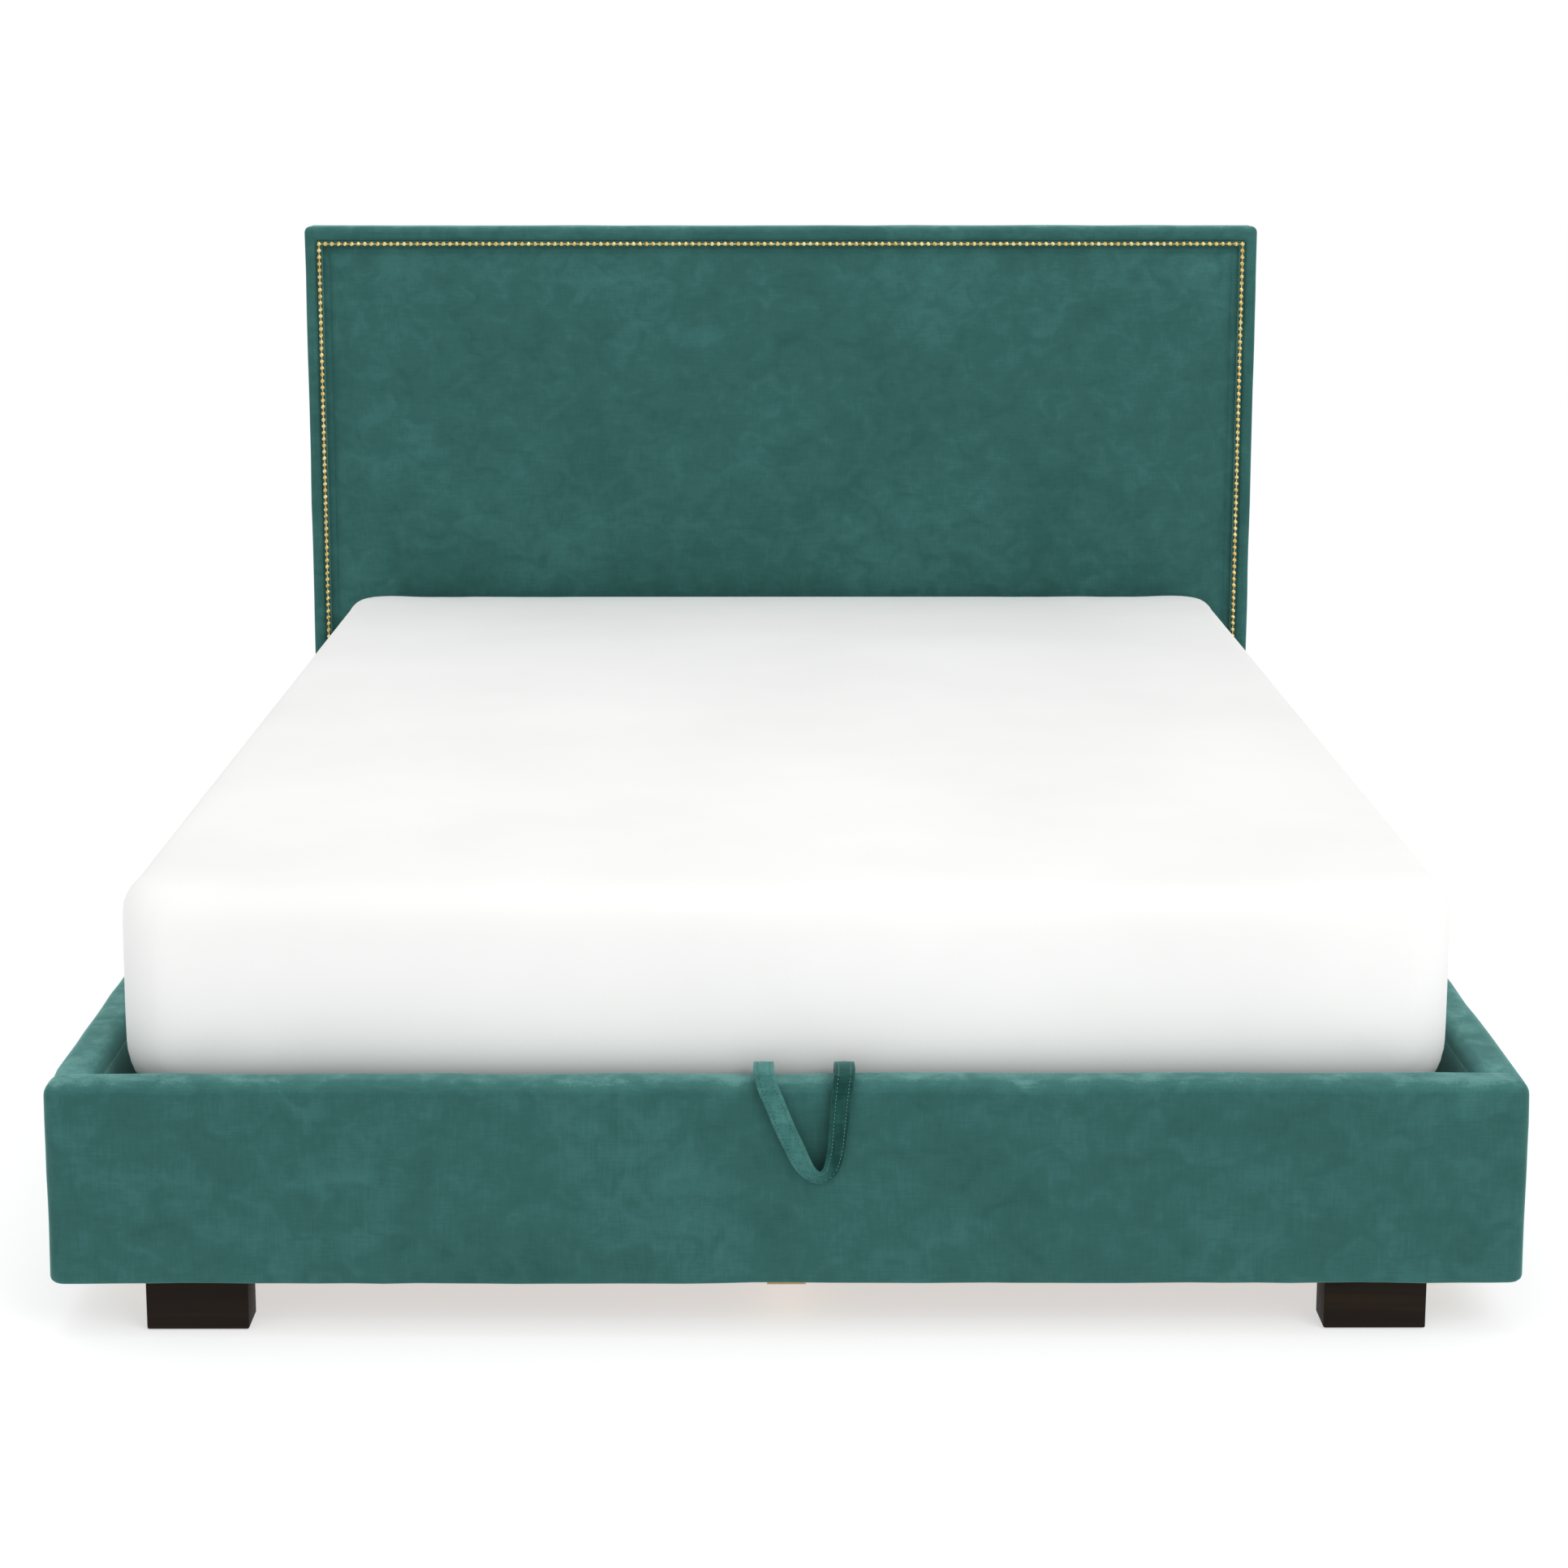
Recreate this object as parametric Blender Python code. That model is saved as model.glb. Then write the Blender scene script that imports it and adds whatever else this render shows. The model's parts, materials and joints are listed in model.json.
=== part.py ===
"""Upholstered lift-up storage bed with a nailhead-trimmed headboard.

Metres, +Z up. The origin is on the floor under the middle of the bed, +Y runs
towards the head and +X is the right-hand side seen from the foot.
"""
import bpy
import bmesh
from math import atan2, pi, radians
from mathutils import Matrix, Vector

# ---- driving dimensions -------------------------------------------------------------
BED_WIDTH = 1.650
HALF = BED_WIDTH / 2
LENGTH = 2.210             # from the front of the pull loop to the back of the posts
LOOP_STANDOFF = 0.0155     # the loop hangs this far in front of the foot rail
HEADBOARD_THICK = 0.0895
FOOT_Y = -LENGTH / 2 + LOOP_STANDOFF
HEAD_Y = LENGTH / 2 - HEADBOARD_THICK
GAP = 0.0003               # between touching pieces

RAIL_BOTTOM = 0.062
RAIL_TOP = 0.296
RAIL_THICK = 0.052
RAIL_INNER_X = HALF - RAIL_THICK
RAIL_INNER_Y = FOOT_Y + RAIL_THICK
PADDING = 0.020            # foam and velvet over the rail boards
RAIL_ROUND = 0.016

HEADBOARD_TOP = 1.136
HEADBOARD_BOTTOM = 0.125
FRONT_PAD = 0.025
EDGE_PAD = 0.0245
NAIL_X = 0.799             # middle of the nail row
NAIL_Z = 1.106
NAIL_BAND = 0.0090
NAILS_BOTTOM = RAIL_TOP + 0.004

MATTRESS_X = 0.762
MATTRESS_LOW = 0.248
MATTRESS_HIGH = 0.500
MATTRESS_FRONT = FOOT_Y + 0.063
MATTRESS_REAR = MATTRESS_FRONT + 2.032
MATTRESS_CORNER = 0.070

DECK_X = 0.7545            # outer face of the deck's side tubes
TUBE = 0.030
TUBE_WALL = 0.002
DECK_Z = 0.205
DECK_FRONT = MATTRESS_FRONT + 0.022
DECK_REAR = MATTRESS_REAR - 0.020
SLATS = 12
SLAT_WIDTH = 0.065
SLAT_THICK = 0.012

PANEL_THICK = 0.004
LEDGER_TOP = 0.074

# ---- lift linkage, in the Y and Z of each side --------------------------------------
REAR_BASE = Vector((0.599, 0.105))      # rear link on the base plate
REAR_DECK = Vector((0.780, 0.190))      # rear link on the lift arm
FRONT_DECK = Vector((0.640, 0.175))     # front link on the lift arm
STRUT_BASE = Vector((0.920, 0.105))     # gas spring on the base plate
STRUT_REACH = 0.095                     # gas spring's other end, along the rear link
LINK_SWING = radians(73.8)
TILT_RATIO = 0.42                       # deck tilt for each radian of the rear link

LINK_WIDTH = 0.024
LINK_THICK = 0.005
PLATE_X = (RAIL_INNER_X - GAP - 0.004, RAIL_INNER_X - GAP)
LINK_X = (0.7620, 0.7620 + LINK_THICK)
ARM_X = (0.7550, 0.7550 + LINK_THICK)
STRUT_X = 0.7455
STUD_R = 0.006
STRUT_STUD_R = 0.004
RUNNING = 0.0003           # radial clearance of a link on its stud
CYLINDER_R = 0.0085
CYLINDER_LENGTH = 0.168
ROD_R = 0.004
EYE_R = 0.009

STRAP_WIDTH = 0.023
STRAP_THICK = 0.003
LOOP_LEFT = -0.0255        # middles of the strap's two legs where they cross the rail
LOOP_RIGHT = 0.0645
LOOP_TIP = (0.0330, 0.184)
LOOP_HINGE_Z = RAIL_TOP + 0.002
LOOP_CLEARANCE = 0.0012    # between the loop and the legs that it hangs from

FOOT_SIZE = Vector((0.115, 0.050, RAIL_BOTTOM - GAP))
FOOT_X = 0.6625
FOOT_SETBACK = 0.020

# ---- materials: colour, roughness, metallic -----------------------------------------
FINISHES = {
    "velvet": ((0.045, 0.130, 0.125), 0.85, 0.0),
    "nail_brass": ((0.720, 0.480, 0.160), 0.30, 1.0),
    "pine": ((0.560, 0.400, 0.240), 0.70, 0.0),
    "stained_wood": ((0.030, 0.020, 0.016), 0.45, 0.0),
    "beech": ((0.680, 0.480, 0.290), 0.55, 0.0),
    "hardboard": ((0.300, 0.190, 0.110), 0.70, 0.0),
    "dust_cover": ((0.020, 0.020, 0.022), 0.90, 0.0),
    "black_steel": ((0.020, 0.020, 0.022), 0.45, 0.0),
    "zinc_steel": ((0.560, 0.560, 0.570), 0.40, 1.0),
    "chrome_rod": ((0.800, 0.800, 0.810), 0.10, 1.0),
    "mattress_cotton": ((0.860, 0.860, 0.850), 0.90, 0.0),
}


def clear_scene():
    for obj in list(bpy.data.objects):
        bpy.data.objects.remove(obj, do_unlink=True)


def finish(name):
    """One Principled material for the named finish."""
    if name in bpy.data.materials:
        return bpy.data.materials[name]
    colour, rough, metal = FINISHES[name]
    mat = bpy.data.materials.new(name)
    mat.use_nodes = True
    shader = mat.node_tree.nodes["Principled BSDF"]
    shader.inputs["Base Color"].default_value = (*colour, 1.0)
    shader.inputs["Roughness"].default_value = rough
    shader.inputs["Metallic"].default_value = metal
    return mat


clear_scene()
bed = bpy.data.collections.new("upholstered_bed")
cutters = bpy.data.collections.new("cutters")
bpy.context.scene.collection.children.link(bed)
bpy.context.scene.collection.children.link(cutters)


def part(name, mesh, material, centre=(0, 0, 0)):
    """A named sub-part of the bed whose mesh is drawn around its own centre."""
    obj = bpy.data.objects.new(name, mesh)
    obj.location = centre
    mesh.materials.clear()
    mesh.materials.append(finish(material))
    bed.objects.link(obj)
    return obj


def cutter(name, mesh, centre=(0, 0, 0)):
    obj = bpy.data.objects.new(name, mesh)
    obj.location = centre
    obj.hide_render = True
    obj.display_type = "WIRE"
    cutters.objects.link(obj)
    return obj


def boolean(obj, tool, operation):
    mod = obj.modifiers.new(tool.name, "BOOLEAN")
    mod.operation = operation
    mod.solver = "EXACT"
    mod.object = tool


def block_mesh(name, size, rounds=()):
    """A box around its own centre. Each round is (edge test, radius, segments)."""
    bm = bmesh.new()
    bmesh.ops.create_cube(bm, size=1.0)
    bmesh.ops.scale(bm, vec=size, verts=bm.verts)
    for chosen, radius, segments in rounds:
        edges = [e for e in bm.edges if chosen(e)]
        bmesh.ops.bevel(bm, geom=edges, offset=radius, segments=segments, profile=0.5,
                        affect="EDGES", material=-1, clamp_overlap=False)
    bmesh.ops.recalc_face_normals(bm, faces=bm.faces)
    mesh = bpy.data.meshes.new(name)
    bm.to_mesh(mesh)
    bm.free()
    return mesh


def block(name, low, high, material, rounds=()):
    """A box between two corners."""
    size = Vector(high) - Vector(low)
    centre = (Vector(low) + Vector(high)) / 2
    return part(name, block_mesh(name, size, rounds), material, centre)


def cut_block(obj, label, low, high):
    size = Vector(high) - Vector(low)
    centre = (Vector(low) + Vector(high)) / 2
    boolean(obj, cutter(label, block_mesh(label, size), centre), "DIFFERENCE")


def rod_mesh(name, radius, length, axis="X", sides=20):
    """A cylinder around its own centre, along X or Y."""
    bm = bmesh.new()
    bmesh.ops.create_cone(bm, cap_ends=True, segments=sides, radius1=radius, radius2=radius,
                          depth=length)
    turn = Matrix.Rotation(pi / 2, 3, "Y" if axis == "X" else "X")
    bmesh.ops.rotate(bm, cent=(0, 0, 0), matrix=turn, verts=bm.verts)
    mesh = bpy.data.meshes.new(name)
    bm.to_mesh(mesh)
    bm.free()
    return mesh


def cross_rod(obj, label, x_range, place, radius, operation):
    """A hole or a stud along X through a plate, at a Y and Z place."""
    mesh = rod_mesh(label, radius, x_range[1] - x_range[0])
    centre = ((x_range[0] + x_range[1]) / 2, place[0], place[1])
    boolean(obj, cutter(label, mesh, centre), operation)


def along_x(edge):
    a, b = edge.verts
    return abs(a.co.y - b.co.y) < 1e-6 and abs(a.co.z - b.co.z) < 1e-6


def along_z(edge):
    a, b = edge.verts
    return abs(a.co.x - b.co.x) < 1e-6 and abs(a.co.y - b.co.y) < 1e-6


def flat_at(height):
    """Edges that lie in the horizontal plane at a height above the box's centre."""
    return lambda edge: all(abs(v.co.z - height) < 1e-6 for v in edge.verts)


def outline_mesh(name, points, depth, across):
    """A flat outline given depth, drawn in Y and Z (across X) or in X and Z (across Y)."""
    curve = bpy.data.curves.new(name, "CURVE")
    curve.dimensions = "2D"
    curve.fill_mode = "BOTH"
    curve.extrude = depth / 2
    spline = curve.splines.new("POLY")
    spline.points.add(len(points) - 1)
    for point, (u, v) in zip(spline.points, points):
        point.co = (u, v, 0, 1)
    spline.use_cyclic_u = True
    guide = bpy.data.objects.new(name + "_outline", curve)
    cutters.objects.link(guide)
    depsgraph = bpy.context.evaluated_depsgraph_get()
    mesh = bpy.data.meshes.new_from_object(guide.evaluated_get(depsgraph))
    bpy.data.objects.remove(guide, do_unlink=True)
    bm = bmesh.new()
    bm.from_mesh(mesh)
    bmesh.ops.remove_doubles(bm, verts=bm.verts, dist=1e-5)
    turn = Matrix(((0, 0, 1), (1, 0, 0), (0, 1, 0))) if across == "X" \
        else Matrix(((1, 0, 0), (0, 0, -1), (0, 1, 0)))
    bmesh.ops.transform(bm, matrix=turn.to_4x4(), verts=bm.verts)
    bmesh.ops.recalc_face_normals(bm, faces=bm.faces)
    bm.to_mesh(mesh)
    bm.free()
    return mesh


def ribbon(points, thickness):
    """The outline of a band of one thickness that follows a line of points."""
    left, right = [], []
    for i, here in enumerate(points):
        before = Vector(points[max(i - 1, 0)])
        after = Vector(points[min(i + 1, len(points) - 1)])
        along = (after - before).normalized()
        side = Vector((-along.y, along.x)) * thickness / 2
        left.append(tuple(Vector(here) + side))
        right.append(tuple(Vector(here) - side))
    return left + right[::-1]


def hang_on(pivot_name, place, pieces):
    """Parents pieces to an empty on their joint's axis, leaving them where they are."""
    pivot = bpy.data.objects.new(pivot_name, None)
    pivot.location = place
    bed.objects.link(pivot)
    for piece in pieces:
        piece.parent = pivot
        piece.matrix_parent_inverse = Matrix.Translation(-Vector(place))


# ---- headboard ----------------------------------------------------------------------
def headboard():
    core_x = HALF - EDGE_PAD
    core_top = HEADBOARD_TOP - EDGE_PAD
    core_front = HEAD_Y + FRONT_PAD + GAP
    core_back = core_front + 0.036
    inner_x = NAIL_X - NAIL_BAND / 2
    inner_top = NAIL_Z - NAIL_BAND / 2
    outer_x = NAIL_X + NAIL_BAND / 2
    outer_top = NAIL_Z + NAIL_BAND / 2
    low = HEADBOARD_BOTTOM

    block("headboard_core", (-core_x + GAP, core_front, low),
          (core_x - GAP, core_back, core_top - GAP), "pine")
    block("headboard_center_pad", (-inner_x + GAP, HEAD_Y, low),
          (inner_x - GAP, core_front - GAP, inner_top - GAP), "velvet",
          [(along_z, 0.008, 2)])

    top_corners = lambda e: not along_x(e) and not along_z(e) and e.verts[0].co.z > 0.1
    border = block("headboard_border_pad", (-HALF, HEAD_Y, low),
                   (HALF, core_back, HEADBOARD_TOP), "velvet",
                   [(top_corners, 0.012, 3)])
    cut_block(border, "core_space", (-core_x, core_front - GAP, low - 0.1),
              (core_x, core_back + 0.1, core_top))
    cut_block(border, "pad_space", (-outer_x - GAP, HEAD_Y - 0.1, low - 0.1),
              (outer_x + GAP, core_front + 0.001, outer_top + GAP))

    nails = block("nail_strip", (-outer_x, HEAD_Y - 0.0022, NAILS_BOTTOM),
                  (outer_x, core_front - GAP, outer_top), "nail_brass")
    cut_block(nails, "nail_space", (-inner_x, HEAD_Y - 0.1, low - 0.1),
              (inner_x, core_front + 0.1, inner_top))

    back_face = core_back + GAP
    block("headboard_back_cover", (-core_x + 0.006, back_face, low + 0.006),
          (core_x - 0.006, back_face + 0.002, core_top - 0.006), "dust_cover")
    for side, sign in (("left", -1), ("right", 1)):
        x = sorted((sign * 0.60, sign * 0.67))
        block("headboard_post_" + side, (x[0], back_face + 0.002 + GAP, 0),
              (x[1], LENGTH / 2, 0.860), "stained_wood", [(along_z, 0.003, 1)])


# ---- box: rails, feet, storage floor ------------------------------------------------
def rail(name, low, high, open_side):
    """A board in a padded cover that is open where the board faces the storage space."""
    low, high = Vector(low), Vector(high)
    top = (high.z - low.z) / 2
    bottom_round = flat_at(-top)
    cover = block(name + "_cover", low, high, "velvet",
                  [(along_z, 0.010, 2), (flat_at(top), RAIL_ROUND, 3), (bottom_round, 0.005, 1)])
    axis = 0 if open_side.x else 1
    towards = open_side[axis]
    wood_low = low + Vector((0, 0, 0.018))
    wood_high = high - Vector((0, 0, 0.020))
    for i in (0, 1):
        if i != axis or towards > 0:
            wood_low[i] += PADDING if i == axis else 0.025
        if i != axis or towards < 0:
            wood_high[i] -= PADDING if i == axis else 0.025
    cut_low, cut_high = wood_low.copy(), wood_high.copy()
    if towards > 0:
        cut_high[axis] += 0.1
    else:
        cut_low[axis] -= 0.1
    cut_block(cover, name + "_space", cut_low, cut_high)
    inset = Vector((GAP, GAP, GAP))
    block(name + "_board", wood_low + inset, wood_high - inset, "pine")


def box_frame():
    rail("foot_rail", (-HALF, FOOT_Y, RAIL_BOTTOM), (HALF, RAIL_INNER_Y, RAIL_TOP),
         Vector((0, 1, 0)))
    for side, sign in (("left", -1), ("right", 1)):
        x = sorted((sign * RAIL_INNER_X, sign * HALF))
        rail("side_rail_" + side, (x[0], RAIL_INNER_Y + GAP, RAIL_BOTTOM),
             (x[1], HEAD_Y - GAP, RAIL_TOP), Vector((-sign, 0, 0)))

        foot_low = Vector((sign * FOOT_X - FOOT_SIZE.x / 2, FOOT_Y + FOOT_SETBACK, 0))
        block("foot_" + side, foot_low, foot_low + FOOT_SIZE, "stained_wood",
              [(along_z, 0.003, 1)])

        inner = RAIL_INNER_X - GAP
        x = sorted((sign * (inner - 0.025), sign * inner))
        block("floor_ledger_" + side, (x[0], RAIL_INNER_Y + 0.05, RAIL_BOTTOM + 0.001),
              (x[1], HEAD_Y - 0.05, LEDGER_TOP), "pine")
        x = sorted((sign * 0.0015, sign * (inner - 0.002)))
        block("floor_panel_" + side, (x[0], RAIL_INNER_Y + 0.003, LEDGER_TOP + GAP),
              (x[1], HEAD_Y - 0.003, LEDGER_TOP + GAP + PANEL_THICK), "hardboard")

    block("center_beam", (-0.022, RAIL_INNER_Y + 0.003, 0.0403),
          (0.022, HEAD_Y - 0.003, LEDGER_TOP), "pine")
    for end, y in (("front", -0.45), ("rear", 0.45)):
        block("center_leg_" + end, (-0.020, y - 0.020, 0), (0.020, y + 0.020, 0.0400),
              "stained_wood")


def corner_brackets():
    """An L of 3 mm steel in each corner of the box."""
    reach, thick, low, high = 0.060, 0.003, 0.105, 0.185
    side_face = RAIL_INNER_X - GAP
    for end, face, inward in (("front", RAIL_INNER_Y + GAP, 1), ("rear", HEAD_Y - GAP, -1)):
        for side, sign in (("left", -1), ("right", 1)):
            corner = Vector((side_face, face))
            shape = [(0, 0), (-reach, 0), (-reach, thick), (-thick, thick), (-thick, reach),
                     (0, reach)]
            points = [(sign * (corner.x + u), corner.y + inward * v) for u, v in shape]
            mesh = outline_mesh("bracket", points, high - low, "X")
            # the outline is drawn in plan, so its Y and Z become X and Y
            plan = Matrix(((0, 1, 0), (0, 0, 1), (1, 0, 0)))
            mesh.transform(plan.to_4x4())
            part("corner_bracket_%s_%s" % (end, side), mesh, "zinc_steel",
                 (0, 0, (low + high) / 2))


# ---- lift mechanism -----------------------------------------------------------------
def deck_point(rest, swing):
    """Where a point of the deck is after the rear link has swung by an angle."""
    arm = REAR_DECK - REAR_BASE
    hinge = REAR_BASE + Matrix.Rotation(swing, 2) @ arm
    return hinge + Matrix.Rotation(-TILT_RATIO * swing, 2) @ (rest - REAR_DECK)


def arc_centre(a, b, c):
    """Centre of the circle through three points."""
    d = 2 * (a.x * (b.y - c.y) + b.x * (c.y - a.y) + c.x * (a.y - b.y))
    u = (a.dot(a) * (b.y - c.y) + b.dot(b) * (c.y - a.y) + c.dot(c) * (a.y - b.y)) / d
    v = (a.dot(a) * (c.x - b.x) + b.dot(b) * (a.x - c.x) + c.dot(c) * (b.x - a.x)) / d
    return Vector((u, v))


FRONT_BASE = arc_centre(*(deck_point(FRONT_DECK, LINK_SWING * t) for t in (0, 0.5, 1)))


def mirrored(sign, x_range):
    return tuple(sorted((sign * x_range[0], sign * x_range[1])))


def bar_between(name, sign, x_range, start, end, width, material):
    """A flat bar with round ends whose origin is on its first pivot."""
    along = end - start
    length = along.length
    size = Vector((x_range[1] - x_range[0], length + width, width))
    mesh = block_mesh(name, size, [(along_x, width / 2 - 0.0002, 5)])
    mesh.transform(Matrix.Translation((0, length / 2, 0)))
    x_mid = sign * (x_range[0] + x_range[1]) / 2
    bar = part(name, mesh, material, (x_mid, start.x, start.y))
    bar.rotation_euler = (atan2(along.y, along.x), 0, 0)
    return bar


def lift_side(side, sign):
    """Base plate, two links, lift arm and gas spring of one side."""
    name = lambda word: "%s_%s" % (word, side)
    link_span = mirrored(sign, (LINK_X[0] - 0.01, LINK_X[1] + 0.01))

    plate_low = Vector((PLATE_X[0], FRONT_BASE.x - 0.030, LEDGER_TOP + PANEL_THICK + 0.001))
    plate_high = Vector((PLATE_X[1], STRUT_BASE.x + 0.030, 0.128))
    if sign < 0:
        plate_low.x, plate_high.x = -PLATE_X[1], -PLATE_X[0]
    plate = block(name("lift_base_plate"), plate_low, plate_high, "zinc_steel",
                  [(along_x, 0.008, 2)])
    for label, place, radius, reach in (
            ("rear_stud", REAR_BASE, STUD_R, LINK_X[0] - 0.001),
            ("front_stud", FRONT_BASE, STUD_R, LINK_X[0] - 0.001),
            ("strut_stud", STRUT_BASE, STRUT_STUD_R, STRUT_X - 0.007)):
        cross_rod(plate, name(label), mirrored(sign, (reach, PLATE_X[0] + 0.002)), place,
                  radius, "UNION")

    rear = bar_between(name("rear_link"), sign, LINK_X, REAR_BASE, REAR_DECK, LINK_WIDTH,
                       "black_steel")
    for label, place in (("rear_low_hole", REAR_BASE), ("rear_high_hole", REAR_DECK)):
        cross_rod(rear, name(label), link_span, place, STUD_R + RUNNING, "DIFFERENCE")
    front = bar_between(name("front_link"), sign, LINK_X, FRONT_BASE, FRONT_DECK, LINK_WIDTH,
                        "black_steel")
    for label, place in (("front_low_hole", FRONT_BASE), ("front_high_hole", FRONT_DECK)):
        cross_rod(front, name(label), link_span, place, STUD_R + RUNNING, "DIFFERENCE")

    arm_low = Vector((ARM_X[0], FRONT_DECK.x - 0.035, 0.159))
    arm_high = Vector((ARM_X[1], REAR_DECK.x + 0.035, DECK_Z + TUBE))
    if sign < 0:
        arm_low.x, arm_high.x = -ARM_X[1], -ARM_X[0]
    arm = block(name("lift_arm"), arm_low, arm_high, "black_steel", [(along_x, 0.010, 2)])
    cross_rod(arm, name("deck_stud"), mirrored(sign, (ARM_X[0] + 0.002, LINK_X[1] + 0.0005)),
              REAR_DECK, STUD_R, "UNION")

    pin = REAR_BASE + (REAR_DECK - REAR_BASE).normalized() * STRUT_REACH
    along = pin - STRUT_BASE
    reach = along.length
    slope = atan2(along.y, along.x)
    x = sign * STRUT_X

    cylinder = part(name("gas_cylinder"), rod_mesh("tube", CYLINDER_R, CYLINDER_LENGTH, "Y"),
                    "black_steel", (x, STRUT_BASE.x, STRUT_BASE.y))
    cylinder.data.transform(Matrix.Translation((0, CYLINDER_LENGTH / 2 + 0.004, 0)))
    cylinder.rotation_euler = (slope, 0, 0)
    bore = rod_mesh("bore", ROD_R + 0.0005, CYLINDER_LENGTH, "Y")
    bore.transform(Matrix.Translation((0, CYLINDER_LENGTH / 2 + 0.022, 0)))
    tool = cutter(name("gas_bore"), bore, cylinder.location)
    tool.rotation_euler = cylinder.rotation_euler
    eye_span = mirrored(sign, (STRUT_X - 0.0075, STRUT_X + 0.0075))
    cross_rod(cylinder, name("gas_eye"), eye_span, STRUT_BASE, EYE_R, "UNION")
    boolean(cylinder, tool, "DIFFERENCE")
    cross_rod(cylinder, name("gas_eye_hole"), mirrored(sign, (STRUT_X - 0.02, STRUT_X + 0.02)),
              STRUT_BASE, STRUT_STUD_R + RUNNING, "DIFFERENCE")

    rod_start = 0.026
    rod_length = reach - rod_start
    rod = part(name("gas_rod"), rod_mesh("rod", ROD_R, rod_length, "Y"), "chrome_rod",
               (x, STRUT_BASE.x, STRUT_BASE.y))
    rod.data.transform(Matrix.Translation((0, rod_start + rod_length / 2, 0)))
    rod.rotation_euler = (slope, 0, 0)
    cross_rod(rod, name("rod_eye"), eye_span, pin, EYE_R, "UNION")
    cross_rod(rod, name("rod_eye_hole"), mirrored(sign, (STRUT_X - 0.02, STRUT_X + 0.02)), pin,
              STRUT_STUD_R, "DIFFERENCE")
    return rear, front, cylinder, rod, arm


# ---- lifting deck, slats and mattress -----------------------------------------------
def square_tube(name, low, high, axis):
    """A square steel tube, open at both ends."""
    tube = block(name, low, high, "black_steel")
    wall = Vector([TUBE_WALL] * 3)
    wall[axis] = -0.1
    cut_block(tube, name + "_bore", Vector(low) + wall, Vector(high) - wall)
    return tube


def deck():
    top = DECK_Z + TUBE
    pieces = []
    for side, sign in (("left", -1), ("right", 1)):
        x = sorted((sign * (DECK_X - TUBE), sign * DECK_X))
        pieces.append(square_tube("deck_side_" + side, (x[0], DECK_FRONT, DECK_Z),
                                  (x[1], DECK_REAR, top), 1))
    inner = DECK_X - TUBE - GAP
    for end, y in (("foot", DECK_FRONT), ("head", DECK_REAR - TUBE)):
        pieces.append(square_tube("deck_%s_bar" % end, (-inner, y, DECK_Z),
                                  (inner, y + TUBE, top), 0))
    pieces.append(square_tube("deck_center_bar",
                              (-TUBE / 2, DECK_FRONT + TUBE + GAP, DECK_Z),
                              (TUBE / 2, DECK_REAR - TUBE - GAP, top), 1))
    first = DECK_FRONT + 0.008 + SLAT_WIDTH / 2
    last = DECK_REAR - 0.008 - SLAT_WIDTH / 2
    for i in range(SLATS):
        y = first + (last - first) * i / (SLATS - 1)
        pieces.append(block("slat_%02d" % (i + 1),
                            (-DECK_X + 0.004, y - SLAT_WIDTH / 2, top + GAP),
                            (DECK_X - 0.004, y + SLAT_WIDTH / 2, top + GAP + SLAT_THICK),
                            "beech", [(along_z, 0.004, 1)]))
    return pieces


def mattress():
    half_height = (MATTRESS_HIGH - MATTRESS_LOW) / 2
    return block("mattress", (-MATTRESS_X, MATTRESS_FRONT, MATTRESS_LOW),
                 (MATTRESS_X, MATTRESS_REAR, MATTRESS_HIGH), "mattress_cotton",
                 [(along_z, MATTRESS_CORNER, 6), (flat_at(half_height), 0.034, 3),
                  (flat_at(-half_height), 0.045, 3)])


def mattress_stops():
    """Bent flat bars on the head bar that keep the mattress from sliding off the deck."""
    pieces = []
    behind = MATTRESS_REAR + 0.0005
    thick = 0.003
    low = DECK_Z - thick - GAP
    shape = [(DECK_REAR - TUBE, low), (behind + thick, low), (behind + thick, 0.330),
             (behind, 0.330), (behind, low + thick), (DECK_REAR - TUBE, low + thick)]
    for side, sign in (("left", -1), ("right", 1)):
        mesh = outline_mesh("stop", shape, 0.060, "X")
        pieces.append(part("mattress_stop_" + side, mesh, "black_steel", (sign * 0.43, 0, 0)))
    return pieces


# ---- pull loop ----------------------------------------------------------------------
def strap_tail():
    """The strap's two legs, from the deck's foot bar up and over the foot rail."""
    bar = DECK_FRONT - STRAP_THICK / 2 - GAP
    slot = RAIL_INNER_Y + 0.0062
    over = RAIL_TOP + 0.0085
    front = FOOT_Y - 0.0075
    path = [(bar, DECK_Z + 0.003), (bar, DECK_Z + 0.024), (bar - 0.010, MATTRESS_LOW - 0.010),
            (slot + 0.004, MATTRESS_LOW - 0.006), (slot, MATTRESS_LOW + 0.006),
            (slot, RAIL_TOP - 0.006), (slot - 0.006, RAIL_TOP + 0.005),
            (slot - 0.020, over), (front + 0.026, over + 0.001),
            (front + 0.007, over - 0.0005), (front + 0.001, LOOP_HINGE_Z + 0.001)]
    outline = ribbon(path, STRAP_THICK)
    legs = [outline_mesh("leg", outline, STRAP_WIDTH, "X") for _ in (0, 1)]
    tail = part("strap_tail", legs[0], "velvet", (LOOP_LEFT, 0, 0))
    second = cutter("second_leg", legs[1], (LOOP_RIGHT, 0, 0))
    boolean(tail, second, "UNION")
    patch_size = Vector((LOOP_RIGHT - LOOP_LEFT, STRAP_THICK - 0.0004, 0.018))
    patch = cutter("sewn_patch", block_mesh("patch", patch_size),
                   ((LOOP_LEFT + LOOP_RIGHT) / 2, bar, DECK_Z + 0.0135))
    boolean(tail, patch, "UNION")
    return tail


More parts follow.
